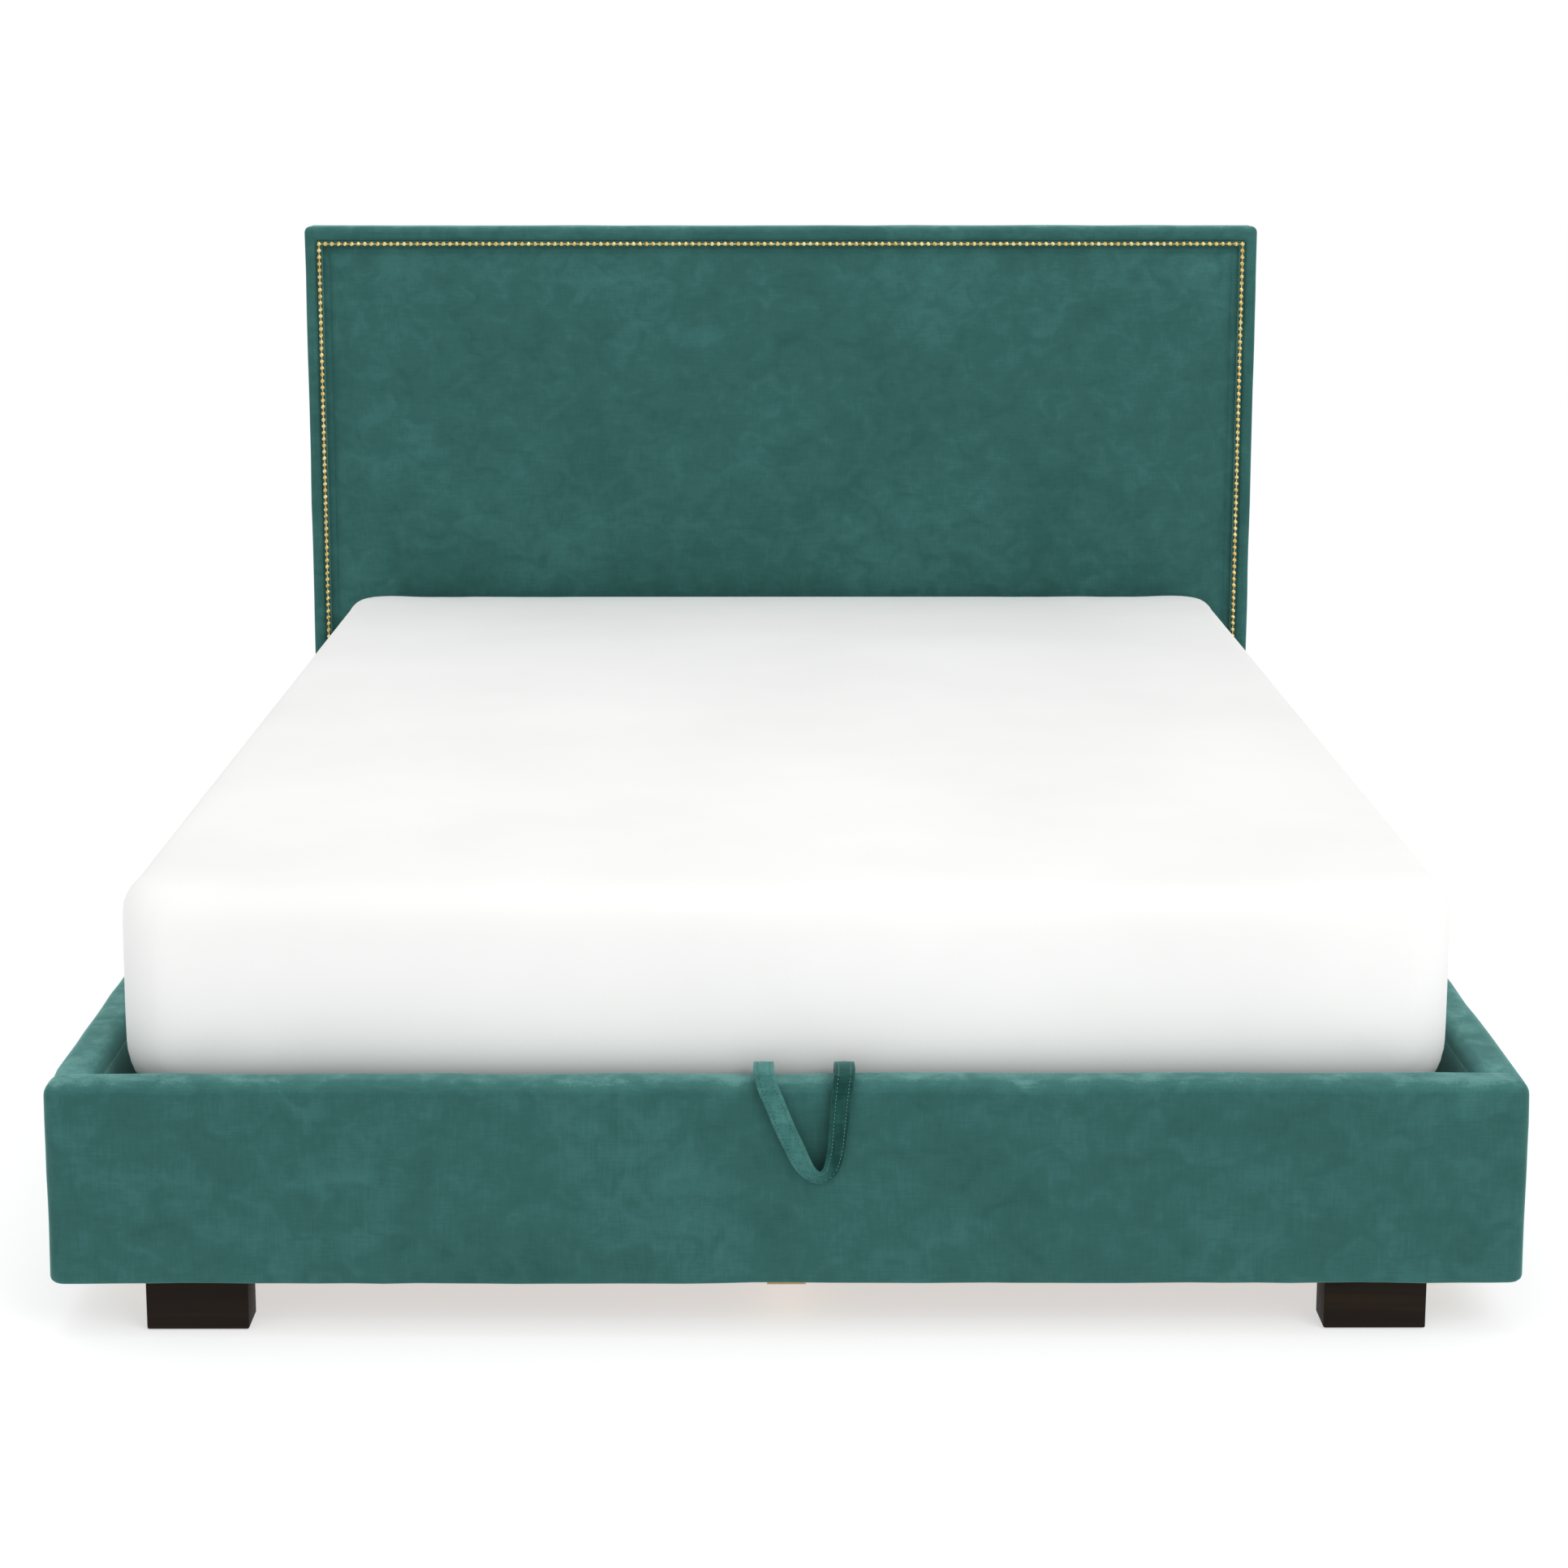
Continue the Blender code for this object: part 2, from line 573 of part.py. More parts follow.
def pull_loop():
    """The hanging loop, a V of flat strap in front of the rail."""
    half = STRAP_WIDTH / 2
    top = LOOP_HINGE_Z - LOOP_CLEARANCE
    tip_x, tip_z = LOOP_TIP
    shape = [(LOOP_LEFT - half, top), (LOOP_LEFT + half, top), (tip_x - 0.001, tip_z + 0.032),
             (LOOP_RIGHT - half, top), (LOOP_RIGHT + half, top), (tip_x + 0.020, tip_z + 0.012),
             (tip_x + 0.009, tip_z), (tip_x - 0.007, tip_z), (tip_x - 0.020, tip_z + 0.012)]
    thick = 0.008
    y = FOOT_Y - LOOP_STANDOFF + thick / 2
    return part("pull_loop", outline_mesh("loop", shape, thick, "Y"), "velvet", (0, y, 0))


headboard()
box_frame()
corner_brackets()

lifts = [lift_side(side, sign) for side, sign in (("left", -1), ("right", 1))]
rear_links, front_links, gas_cylinders, gas_rods, arms = zip(*lifts)
hang_on("rear_link_axis", (0, *REAR_BASE), rear_links)
hang_on("front_link_axis", (0, *FRONT_BASE), front_links)
hang_on("gas_cylinder_axis", (0, *STRUT_BASE), gas_cylinders)
hang_on("gas_rod_axis", (0, *STRUT_BASE), gas_rods)
hang_on("deck_axis", (0, *REAR_DECK),
        [*arms, *deck(), mattress(), *mattress_stops(), strap_tail()])
hang_on("loop_axis", (0, FOOT_Y - 0.0075, LOOP_HINGE_Z), [pull_loop()])
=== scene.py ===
# %% [markdown]
# # An upholstered lift-up bed
# This lesson dresses a bed whose frame, deck and lift mechanism are already modelled.
# The frame is loaded first and is never moved. Every soft or fine piece is then made
# around it, and all but the pull strap and its stitching ride on the body that carries
# them, so they move with it when the bed opens.

# %% Load the frame
import json
from math import cos, pi, radians, sin

import bmesh
import bpy
from mathutils import Matrix, Vector, noise


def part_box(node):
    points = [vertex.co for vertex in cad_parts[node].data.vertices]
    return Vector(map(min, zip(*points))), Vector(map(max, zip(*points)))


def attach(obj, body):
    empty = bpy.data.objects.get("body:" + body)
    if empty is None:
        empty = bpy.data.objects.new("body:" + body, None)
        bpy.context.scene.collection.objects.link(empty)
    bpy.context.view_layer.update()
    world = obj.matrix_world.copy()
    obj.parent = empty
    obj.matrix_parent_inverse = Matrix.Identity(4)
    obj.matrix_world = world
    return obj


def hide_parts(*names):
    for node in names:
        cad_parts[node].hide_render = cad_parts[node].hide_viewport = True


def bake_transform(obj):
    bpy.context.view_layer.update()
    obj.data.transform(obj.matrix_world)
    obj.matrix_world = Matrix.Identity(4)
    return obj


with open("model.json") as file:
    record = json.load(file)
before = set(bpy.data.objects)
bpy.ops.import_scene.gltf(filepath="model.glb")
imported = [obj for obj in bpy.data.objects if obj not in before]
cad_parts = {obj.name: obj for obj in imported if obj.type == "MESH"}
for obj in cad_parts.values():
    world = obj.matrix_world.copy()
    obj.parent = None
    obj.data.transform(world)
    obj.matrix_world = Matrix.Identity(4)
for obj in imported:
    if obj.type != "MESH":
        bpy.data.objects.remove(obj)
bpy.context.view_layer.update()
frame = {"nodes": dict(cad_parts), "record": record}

# %% [markdown]
# ## Sizes
# Positions come from the boxes of the CAD nodes, so a change in the frame moves every
# piece with it. Only small things that the frame doesn't hold, such as the pitch of the
# nails, are stated here. All numbers are metres.

# %% Read the places of the frame's parts
def low(node):
    return Vector(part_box(node)[0])


def high(node):
    return Vector(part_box(node)[1])


BORDER_LOW, BORDER_HIGH = low("headboard_border_pad"), high("headboard_border_pad")
PANEL_LOW, PANEL_HIGH = low("headboard_center_pad"), high("headboard_center_pad")
NAILS_LOW, NAILS_HIGH = low("nail_strip"), high("nail_strip")
RAIL_LOW, RAIL_HIGH = low("foot_rail_cover"), high("foot_rail_cover")
MATTRESS_LOW, MATTRESS_HIGH = low("mattress"), high("mattress")
HALF = BORDER_HIGH.x
HEAD_Y = PANEL_LOW.y
FOOT_Y = RAIL_LOW.y
print("headboard %.3f m high, rails %.3f m high" % (BORDER_HIGH.z, RAIL_HIGH.z))

# %% [markdown]
# ## The camera and the studio
# A long lens far from the bed keeps the rails almost parallel. The camera looks down a
# little, so the whole mattress top shows. The floor and the background are plain white,
# and the light is broad, so that the shadows under the bed are soft.

# %% Place the camera
CAMERA_PLACE = Vector((-0.0163, -4.3477, 1.3887))
CAMERA_PITCH = 0.1764
CAMERA_YAW = -0.0026
LENS_MM = 70.74

camera_data = bpy.data.cameras.new("camera")
camera_data.lens = LENS_MM
camera_data.sensor_width = 36
camera_data.shift_x = 0.0028
camera_data.shift_y = -0.10
camera = bpy.data.objects.new("camera", camera_data)
camera.location = CAMERA_PLACE
camera.rotation_euler = (pi / 2 - CAMERA_PITCH, 0, CAMERA_YAW)
bpy.context.scene.collection.objects.link(camera)
bpy.context.scene.camera = camera
print("camera %.2f m from the foot rail" % (FOOT_Y - CAMERA_PLACE.y))

# %% [markdown]
# ## Helpers for materials
# Colours are written as the hex values that a paint chart gives, and one function turns
# them to linear light. One small function adds any node with its settings and links.

# %% Colour and node helpers
def linear(hex_colour, alpha=1.0):
    channels = [int(hex_colour[i:i + 2], 16) / 255 for i in (1, 3, 5)]
    return (*[c / 12.92 if c <= 0.04045 else ((c + 0.055) / 1.055) ** 2.4
              for c in channels], alpha)


def add(mat, kind, settings=None, links=None):
    """A node with its settings; names with a capital letter are sockets."""
    tree = mat.node_tree
    made = tree.nodes.new("ShaderNode" + kind)
    for key, value in (settings or {}).items():
        if key in made.inputs or isinstance(key, int):
            made.inputs[key].default_value = value
        else:
            setattr(made, key, value)
    for key, source in (links or {}).items():
        tree.links.new(source, made.inputs[key])
    return made


def new_material(name, hex_colour, rough, **sockets):
    """A material and its one Principled shader, with its constant values set."""
    mat = bpy.data.materials.new(name)
    mat.use_nodes = True
    shader = mat.node_tree.nodes["Principled BSDF"]
    shader.inputs["Base Color"].default_value = linear(hex_colour)
    shader.inputs["Roughness"].default_value = rough
    for key, value in sockets.items():
        shader.inputs[key.replace("_", " ")].default_value = value
    return mat, shader


def object_space(mat, scale=(1, 1, 1), turn=(0, 0, 0)):
    place = add(mat, "TexCoord")
    return add(mat, "Mapping", {"Scale": scale, "Rotation": turn},
               {"Vector": place.outputs["Object"]}).outputs["Vector"]


def cloudy(mat, vector, scale, detail=3.0, distortion=0.0):
    return add(mat, "TexNoise", {"Scale": scale, "Detail": detail, "Distortion": distortion},
               {"Vector": vector}).outputs["Fac"]


def ramp(mat, factor, stops):
    """A colour ramp from a list of (place, hex colour)."""
    made = add(mat, "ValToRGB", {}, {"Fac": factor})
    steps = made.color_ramp.elements
    while len(steps) < len(stops):
        steps.new(0.5)
    for step, (place, colour) in zip(steps, stops):
        step.position = place
        step.color = linear(colour)
    return made.outputs["Color"]


def maths(mat, operation, a, b):
    made = add(mat, "Math", {"operation": operation})
    for socket, value in ((made.inputs[0], a), (made.inputs[1], b)):
        if isinstance(value, (int, float)):
            socket.default_value = value
        else:
            mat.node_tree.links.new(value, socket)
    return made.outputs[0]


def bump(mat, shader, height, strength, distance):
    made = add(mat, "Bump", {"Strength": strength, "Distance": distance}, {"Height": height})
    mat.node_tree.links.new(made.outputs["Normal"], shader.inputs["Normal"])


def wire(mat, output, shader, socket):
    mat.node_tree.links.new(output, shader.inputs[socket])

# %% [markdown]
# ## Cotton velvet
# The cover is a short-pile velvet in teal. Its pile leans one way here and another way
# there, which gives soft lighter and darker patches a hand wide, and fine streaks along
# the warp and the weft. The pile also glows where it is seen along the surface, which
# is what sheen is for. Faces that look up are painted paler, a painted highlight for the
# light from above; the strap instead takes a painted shade across X, darker on the leg
# that faces away from the light. The real pile rows are 0.4 mm apart, too fine to show,
# so they are drawn coarser.

# %% Velvet
def velvet(name, dark, middle, pale, sheen=0.85, shade_span_x=None):
    """The last argument, if given, is a span of X over which a painted shade turns the velvet
    from pale to dark; without it, faces that look up get a painted highlight.
    """
    mat, shader = new_material(name, middle, 0.80, Sheen_Weight=sheen,
                               Sheen_Roughness=0.34, Specular_IOR_Level=0.10)
    shader.inputs["Sheen Tint"].default_value = linear("#8FC6C1")
    plain = object_space(mat)
    patches = cloudy(mat, plain, 3.8, 5.0, 0.7)
    brushed = cloudy(mat, object_space(mat, (15, 15, 17), (0, 0.6, 0)), 1.8, 6.0, 0.8)
    warp = cloudy(mat, object_space(mat, (420, 420, 45)), 1.0, 2.0)
    weft = cloudy(mat, object_space(mat, (45, 45, 420)), 1.0, 2.0)
    threads = maths(mat, "ADD", maths(mat, "MULTIPLY", warp, 0.5),
                    maths(mat, "MULTIPLY", weft, 0.5))
    lay = maths(mat, "ADD", maths(mat, "MULTIPLY", patches, 0.36),
                maths(mat, "MULTIPLY", brushed, 0.36))
    tone = maths(mat, "ADD", lay, maths(mat, "MULTIPLY", threads, 0.28))
    if not shade_span_x:
        # painted highlight: faces that look up are made paler, as light from above would make
        # them
        facing = add(mat, "SeparateXYZ", {},
                     {"Vector": add(mat, "TexCoord").outputs["Normal"]})
        painted_top_light = add(mat, "MapRange", {"From Min": 0.25, "From Max": 1.0, "To Min": 0.0,
                                       "To Max": 0.22}, {"Value": facing.outputs["Z"]})
        tone = maths(mat, "ADD", tone, painted_top_light.outputs["Result"])
    else:
        # painted shade: pale on the leg that faces the light, dark on the leg that faces away
        place = add(mat, "SeparateXYZ", {}, {"Vector": plain})
        painted_leg_shade = add(mat, "MapRange", {"From Min": shade_span_x[0], "From Max": shade_span_x[1],
                                     "To Min": 0.09, "To Max": -0.16},
                   {"Value": place.outputs["X"]})
        tone = maths(mat, "ADD", tone, painted_leg_shade.outputs["Result"])
    # the top stop, #5C8C87, is reached mostly through the painted highlight on upward faces
    wire(mat, ramp(mat, tone, [(0.29, dark), (0.50, middle), (0.69, pale),
                                (0.80, "#5C8C87")]), shader,
         "Base Color")
    wire(mat, maths(mat, "ADD", maths(mat, "MULTIPLY", patches, 0.25), 0.65), shader,
         "Roughness")
    pile = cloudy(mat, plain, 900.0, 2.0)
    bump(mat, shader, maths(mat, "ADD", maths(mat, "MULTIPLY", threads, 0.7),
                            maths(mat, "MULTIPLY", pile, 0.3)), 0.35, 0.0008)
    return mat


VELVET = velvet("teal_cotton_velvet", "#264F4B", "#315E5A", "#3E6F6B")
# the strap's dark and pale stops are a painted shade and a painted highlight for its two legs
STRAP_VELVET = velvet("teal_velvet_strap", "#123A36", "#2A5C57", "#4C817C",
                      shade_span_x=(0.028, 0.052))
# the lining is the cover's velvet drawn paler, painted light in the shaded gap by the mattress
PAINTED_LIGHT_LINING_VELVET = velvet("teal_velvet_lining", "#3E6F6B", "#4B7E79", "#588A85")
print("velvets:", VELVET.name, STRAP_VELVET.name)

# %% [markdown]
# ## Metals
# The nails are steel with a brass plating. Its colour wavers at random between a darker
# tone and a pale painted highlight. The deck is mild steel with black powder coat,
# which has a faint orange-peel skin. Brackets and base plates are zinc plated, with a
# blurred spangle, and the gas springs' rods are ground and chromed.

# %% Plated, coated and chromed steel
def brass_plate():
    mat, shader = new_material("antique_brass_plated_steel", "#DEC37E", 0.22, Metallic=1.0)
    mottle_and_highlight = cloudy(mat, object_space(mat), 260.0, 2.0)
    # random darker and paler patches; the palest stop is a painted highlight
    wire(mat, ramp(mat, mottle_and_highlight, [(0.30, "#B0944F"), (0.50, "#DEC37E"), (0.75, "#F7ECC4")]),
         shader, "Base Color")
    wire(mat, maths(mat, "ADD", maths(mat, "MULTIPLY", mottle_and_highlight, 0.25), 0.16), shader, "Roughness")
    return mat


def powder_coat():
    mat, shader = new_material("black_powder_coat", "#1B1B1D", 0.42)
    peel = cloudy(mat, object_space(mat), 700.0, 1.0)
    wire(mat, maths(mat, "ADD", maths(mat, "MULTIPLY", peel, 0.18), 0.34), shader, "Roughness")
    bump(mat, shader, peel, 0.25, 0.0003)
    return mat


def zinc_plate():
    mat, shader = new_material("bright_zinc_plated_steel", "#B9BCC0", 0.35, Metallic=1.0)
    spangle = cloudy(mat, object_space(mat), 60.0, 3.0, 1.0)
    wire(mat, ramp(mat, spangle, [(0.3, "#9FA2A8"), (0.7, "#C9CBCD")]), shader, "Base Color")
    wire(mat, maths(mat, "ADD", maths(mat, "MULTIPLY", spangle, 0.3), 0.22), shader,
         "Roughness")
    return mat


def chrome():
    mat, shader = new_material("ground_chromed_steel", "#D8DADD", 0.08, Metallic=1.0)
    ground = cloudy(mat, object_space(mat, (300, 4000, 4000)), 1.0, 1.0)
    wire(mat, maths(mat, "ADD", maths(mat, "MULTIPLY", ground, 0.08), 0.05), shader,
         "Roughness")
    return mat


BRASS, BLACK_STEEL, ZINC, CHROME = brass_plate(), powder_coat(), zinc_plate(), chrome()
print("metals:", BRASS.name, BLACK_STEEL.name, ZINC.name, CHROME.name)

# %% [markdown]
# ## Woods
# Sawn wood shows its growth rings as long wavering bands along the board, with finer
# pores between them. One function draws that for pine, beech and the stained feet: the
# noise is stretched along the grain, and the ring spacing is a real one of a few
# millimetres.

# %% Pine, beech, stained wood and hardboard
def wood(name, grain_axis, ring_mm, stops, rough, coat=0.0, specular=0.4):
    mat, shader = new_material(name, stops[1][1], rough, Coat_Weight=coat,
                               Coat_Roughness=0.25, Specular_IOR_Level=specular)
    across = 1000.0 / ring_mm
    scale = [across * 0.35] * 3
    scale[grain_axis] = 2.2
    rings = cloudy(mat, object_space(mat, scale), 1.0, 4.0, 0.8)
    pores = [across * 4] * 3
    pores[grain_axis] = 14.0
    fine = cloudy(mat, object_space(mat, pores), 1.0, 2.0)
    tone = maths(mat, "ADD", maths(mat, "MULTIPLY", rings, 0.75),
                 maths(mat, "MULTIPLY", fine, 0.25))
    wire(mat, ramp(mat, tone, stops), shader, "Base Color")
    wire(mat, maths(mat, "ADD", maths(mat, "MULTIPLY", fine, 0.25), rough - 0.12), shader,
         "Roughness")
    bump(mat, shader, tone, 0.25, 0.0006)
    return mat


PINE_STOPS = [(0.32, "#B98D5A"), (0.50, "#D2AB76"), (0.70, "#E2C494")]
BEECH_STOPS = [(0.32, "#B98A5E"), (0.50, "#CDA077"), (0.70, "#DDB58D")]
STAIN_STOPS = [(0.30, "#0F0803"), (0.50, "#190F06"), (0.72, "#25190C")]
PINE_LONG = wood("sawn_pine_along_y", 1, 9, PINE_STOPS, 0.70)
PINE_WIDE = wood("sawn_pine_along_x", 0, 9, PINE_STOPS, 0.70)
BEECH = wood("steamed_beech_laminate", 0, 5, BEECH_STOPS, 0.50, 0.3)
STAINED = wood("espresso_stained_rubberwood", 0, 6, STAIN_STOPS, 0.60, 0.0, 0.15)
STAINED_POST = wood("espresso_stained_post", 2, 6, STAIN_STOPS, 0.60, 0.0, 0.15)


def hardboard():
    mat, shader = new_material("pressed_hardboard", "#8A6642", 0.72)
    fibre = cloudy(mat, object_space(mat), 240.0, 6.0)
    wire(mat, ramp(mat, fibre, [(0.3, "#6E4E30"), (0.7, "#A07C54")]), shader, "Base Color")
    bump(mat, shader, fibre, 0.3, 0.0005)
    return mat


HARDBOARD = hardboard()
print("woods:", PINE_LONG.name, PINE_WIDE.name, BEECH.name, STAINED.name, HARDBOARD.name)

# %% [markdown]
# ## Cloths and plastics
# The mattress cover is a knitted cotton jersey, nearly white, whose loops only show as
# a slight tooth. The dust cover behind the headboard is a spun-bonded felt, bonded in a
# grid of small dots. Slat holders, strut ends and glides are moulded plastic.

# %% Jersey, felt and moulded plastic
def jersey():
    mat, shader = new_material("knitted_cotton_jersey", "#F2F2F1", 0.92, Sheen_Weight=0.15,
                               Sheen_Roughness=0.5, Specular_IOR_Level=0.2)
    ribs = cloudy(mat, object_space(mat, (500, 500, 160)), 1.0, 2.0)
    soft = cloudy(mat, object_space(mat), 3.0, 3.0)
    wire(mat, ramp(mat, soft, [(0.3, "#EFEFEE"), (0.7, "#F5F5F4")]), shader, "Base Color")
    wire(mat, maths(mat, "ADD", maths(mat, "MULTIPLY", ribs, 0.1), 0.84), shader, "Roughness")
    bump(mat, shader, ribs, 0.15, 0.0005)
    return mat


def spun_felt():
    mat, shader = new_material("spun_bonded_polypropylene", "#232426", 0.88)
    place = object_space(mat)
    dots = add(mat, "TexVoronoi", {"Scale": 330.0, "Randomness": 0.15},
               {"Vector": place}).outputs["Distance"]
    fibre = cloudy(mat, place, 400.0, 5.0)
    wire(mat, ramp(mat, fibre, [(0.3, "#1A1B1D"), (0.7, "#303235")]), shader, "Base Color")
    bump(mat, shader, dots, 0.4, 0.0004)
    return mat


def moulded_plastic(name, hex_colour):
    mat, shader = new_material(name, hex_colour, 0.48)
    grain = cloudy(mat, object_space(mat), 1200.0, 2.0)
    wire(mat, maths(mat, "ADD", maths(mat, "MULTIPLY", grain, 0.2), 0.38), shader, "Roughness")
    bump(mat, shader, grain, 0.2, 0.0002)
    return mat


def thread_cotton(name, pale, dark):
    mat, shader = new_material(name, pale, 0.75, Sheen_Weight=0.2)
    twist = cloudy(mat, object_space(mat), 1500.0, 1.0)
    wire(mat, ramp(mat, twist, [(0.35, dark), (0.65, pale)]), shader, "Base Color")
    return mat


JERSEY = jersey()
FELT = spun_felt()
NYLON = moulded_plastic("moulded_black_nylon", "#18181A")
THREAD = thread_cotton("teal_sewing_thread", "#5E918C", "#2A5A56")
print("cloths:", JERSEY.name, FELT.name, NYLON.name, THREAD.name)

# %% [markdown]
# ## Turning a mesh into a piece of the bed
# Each new piece is made once from a bmesh: its normals are set, it takes a material
# and rides on a body of the frame.

# %% The piece function
SMOOTH_ANGLE = radians(38)


def piece(name, bm, material, body, replaced=()):
    bmesh.ops.remove_doubles(bm, verts=bm.verts, dist=1e-6)
    bmesh.ops.recalc_face_normals(bm, faces=bm.faces)
    mesh = bpy.data.meshes.new(name)
    bm.to_mesh(mesh)
    bm.free()
    mesh.shade_smooth()
    mesh.set_sharp_from_angle(angle=SMOOTH_ANGLE)
    mesh.materials.append(material)
    obj = bpy.data.objects.new(name, mesh)
    bpy.context.scene.collection.objects.link(obj)
    if body:
        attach(obj, body)
    if replaced:
        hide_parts(*replaced)
    return obj


def box_at(bm, lowest, highest, radius=0.0, segments=2):
    """Adds a box between two corners, with its edges rounded, and returns its verts."""
    lowest, highest = Vector(lowest), Vector(highest)
    place = Matrix.Translation((lowest + highest) / 2) @ Matrix.Diagonal(
        (*(highest - lowest), 1))
    made = bmesh.ops.create_cube(bm, size=1.0, matrix=place)["verts"]
    if radius:
        edges = list({e for v in made for e in v.link_edges})
        bmesh.ops.bevel(bm, geom=edges, offset=radius, segments=segments, profile=0.5,
                        affect="EDGES", material=-1)
    return made


def slices(bm, axis, places):
    """Cuts the whole mesh across an axis, so that it can bend there."""
    normal = Vector([1.0 if i == axis else 0.0 for i in range(3)])
    for place in places:
        geometry = bm.verts[:] + bm.edges[:] + bm.faces[:]
        bmesh.ops.bisect_plane(bm, geom=geometry, plane_co=normal * place, plane_no=normal)


def steps(start, end, count):
    """Evenly spaced places inside a span, without its ends."""
    return [start + (end - start) * (i + 1) / count for i in range(count - 1)]


def swell(verts, amount, size, seed):
    """Moves verts along their normals by a soft noise, as padding under cloth does."""
    for vert in verts:
        wave = noise.noise(vert.co / size + Vector((seed, seed, seed)))
        vert.co += vert.normal * amount * wave


def carry(bm, rings):
    """Extrudes a closed section from ring to ring, and closes both ends."""
    row = [bm.verts.new(place) for place in rings[0]]
    for a, b in zip(row, row[1:] + row[:1]):
        bm.edges.new((a, b))
    bm.faces.new(row)
    for ring in rings[1:]:
        edges = [bm.edges.get((a, b)) for a, b in zip(row, row[1:] + row[:1])]
        made = bmesh.ops.extrude_edge_only(bm, edges=edges)["geom"]
        fresh = {tuple(g.co): g for g in made if isinstance(g, bmesh.types.BMVert)}
        row = [fresh[tuple(v.co)] for v in row]
        for vert, place in zip(row, ring):
            vert.co = place
    bm.faces.new(row)


print("smooth up to %.0f degrees" % (SMOOTH_ANGLE * 57.3))

# %% [markdown]
# ## Padding by cloth simulation
# Foam under a cover pushes it out. A voxel remesh gives the form an even net of faces,
# and Blender's cloth then swells it for twenty frames with pressure and no gravity. The
# pressure is far more than foam has, and the cloth doesn't settle: left alone it would
# move by many centimetres. So the cloth gives the way that each point moves, and a cap
# of a few millimetres sets how far, which keeps the piece at its real size.

# %% The padding function
def pad_out(obj, voxel, pressure, cap, held=None):
    """Swells a closed form. held tells from a point whether it is stapled down."""
    remesh = obj.modifiers.new("even_net", "REMESH")
    remesh.mode = "VOXEL"
    remesh.voxel_size = voxel
    depsgraph = bpy.context.evaluated_depsgraph_get()
    even = bpy.data.meshes.new_from_object(obj.evaluated_get(depsgraph))
    obj.modifiers.remove(remesh)
    even.materials.clear()
    even.materials.append(obj.data.materials[0])
    obj.data = even
    start = [v.co.copy() for v in even.vertices]
    group = obj.vertex_groups.new(name="stapled")
    if held:
        group.add([i for i, co in enumerate(start) if held(co)], 1.0, "REPLACE")
    cloth = obj.modifiers.new("padding", "CLOTH")
    settings = cloth.settings
    settings.quality = 4
    settings.mass = 0.3
    settings.tension_stiffness = 12
    settings.compression_stiffness = 12
    settings.bending_stiffness = 1.5
    settings.use_pressure = True
    settings.uniform_pressure_force = pressure
    settings.effector_weights.gravity = 0
    if held:
        settings.vertex_group_mass = "stapled"
    cloth.collision_settings.use_collision = False
    scene = bpy.context.scene
    for step in range(1, 21):
        scene.frame_set(step)
    depsgraph = bpy.context.evaluated_depsgraph_get()
    moved = [v.co.copy() for v in obj.evaluated_get(depsgraph).data.vertices]
    obj.modifiers.remove(cloth)
    obj.vertex_groups.clear()
    scene.frame_set(1)
    for vert, before, after in zip(even.vertices, start, moved):
        move = after - before
        if move.length > cap:
            move *= cap / move.length
        vert.co = before + move
    bm = bmesh.new()
    bm.from_mesh(even)
    for _ in range(3):
        bmesh.ops.smooth_vert(bm, verts=bm.verts, factor=0.5, use_axis_x=True,
                              use_axis_y=True, use_axis_z=True)
    bm.to_mesh(even)
    bm.free()
    even.shade_smooth()
    furthest = max((a - b).length for a, b in zip(moved, start))
    print("%s: the cloth moved up to %.4f m, capped at %.4f m" % (obj.name, furthest, cap))


# %% [markdown]
# ## The mattress
# A foam mattress in a fitted jersey cover: a flat top, softly rounded edges, and rounder
# corners where the cover pulls in. It starts a few millimetres small, and the padding
# fills it out to its real size.

# %% Mattress
MATTRESS_SHY = 0.004
CORNER_ROUND = 0.066
TOP_ROUND = 0.032
BOTTOM_ROUND = 0.045


def mattress():
    bm = bmesh.new()
    shy = Vector((MATTRESS_SHY, MATTRESS_SHY, 0))
    box_at(bm, MATTRESS_LOW + shy, MATTRESS_HIGH - shy - Vector((0, 0, 0.004)))
    upright = [e for e in bm.edges if abs(e.verts[0].co.z - e.verts[1].co.z) > 0.1]
    bmesh.ops.bevel(bm, geom=upright, offset=CORNER_ROUND, segments=10, profile=0.5,
                    affect="EDGES", material=-1)
    for wanted, radius in ((max, TOP_ROUND), (min, BOTTOM_ROUND)):
        height = wanted(v.co.z for v in bm.verts)
        rim = [e for e in bm.edges if all(abs(v.co.z - height) < 1e-5 for v in e.verts)]
        bmesh.ops.bevel(bm, geom=rim, offset=radius, segments=7, profile=0.5,
                        affect="EDGES", material=-1)
    obj = piece("mattress_fitted_cover", bm, JERSEY, "deck",
                ["mattress"])
    pad_out(obj, 0.012, 3.0, 0.005, lambda co: co.z < MATTRESS_LOW.z + 0.004)
    return obj


print("mattress faces:", len(mattress().data.polygons))

# %% [markdown]
# ## The headboard's inner panel
# Foam over a board, with the velvet pulled down tight in the groove beside the nails.
# The panel is a flat box with its front rim pushed back, swelled by the padding, so that
# it rises quickly from the groove and is nearly flat in the middle.

# %% Inner panel
RIM_ROUND = 0.014
PANEL_SHY = 0.0015            # the panel starts this much inside its edges
PANEL_BACK = 0.002            # and this far behind its front
PANEL_STAPLED = 0.012         # the cloth is held behind this depth


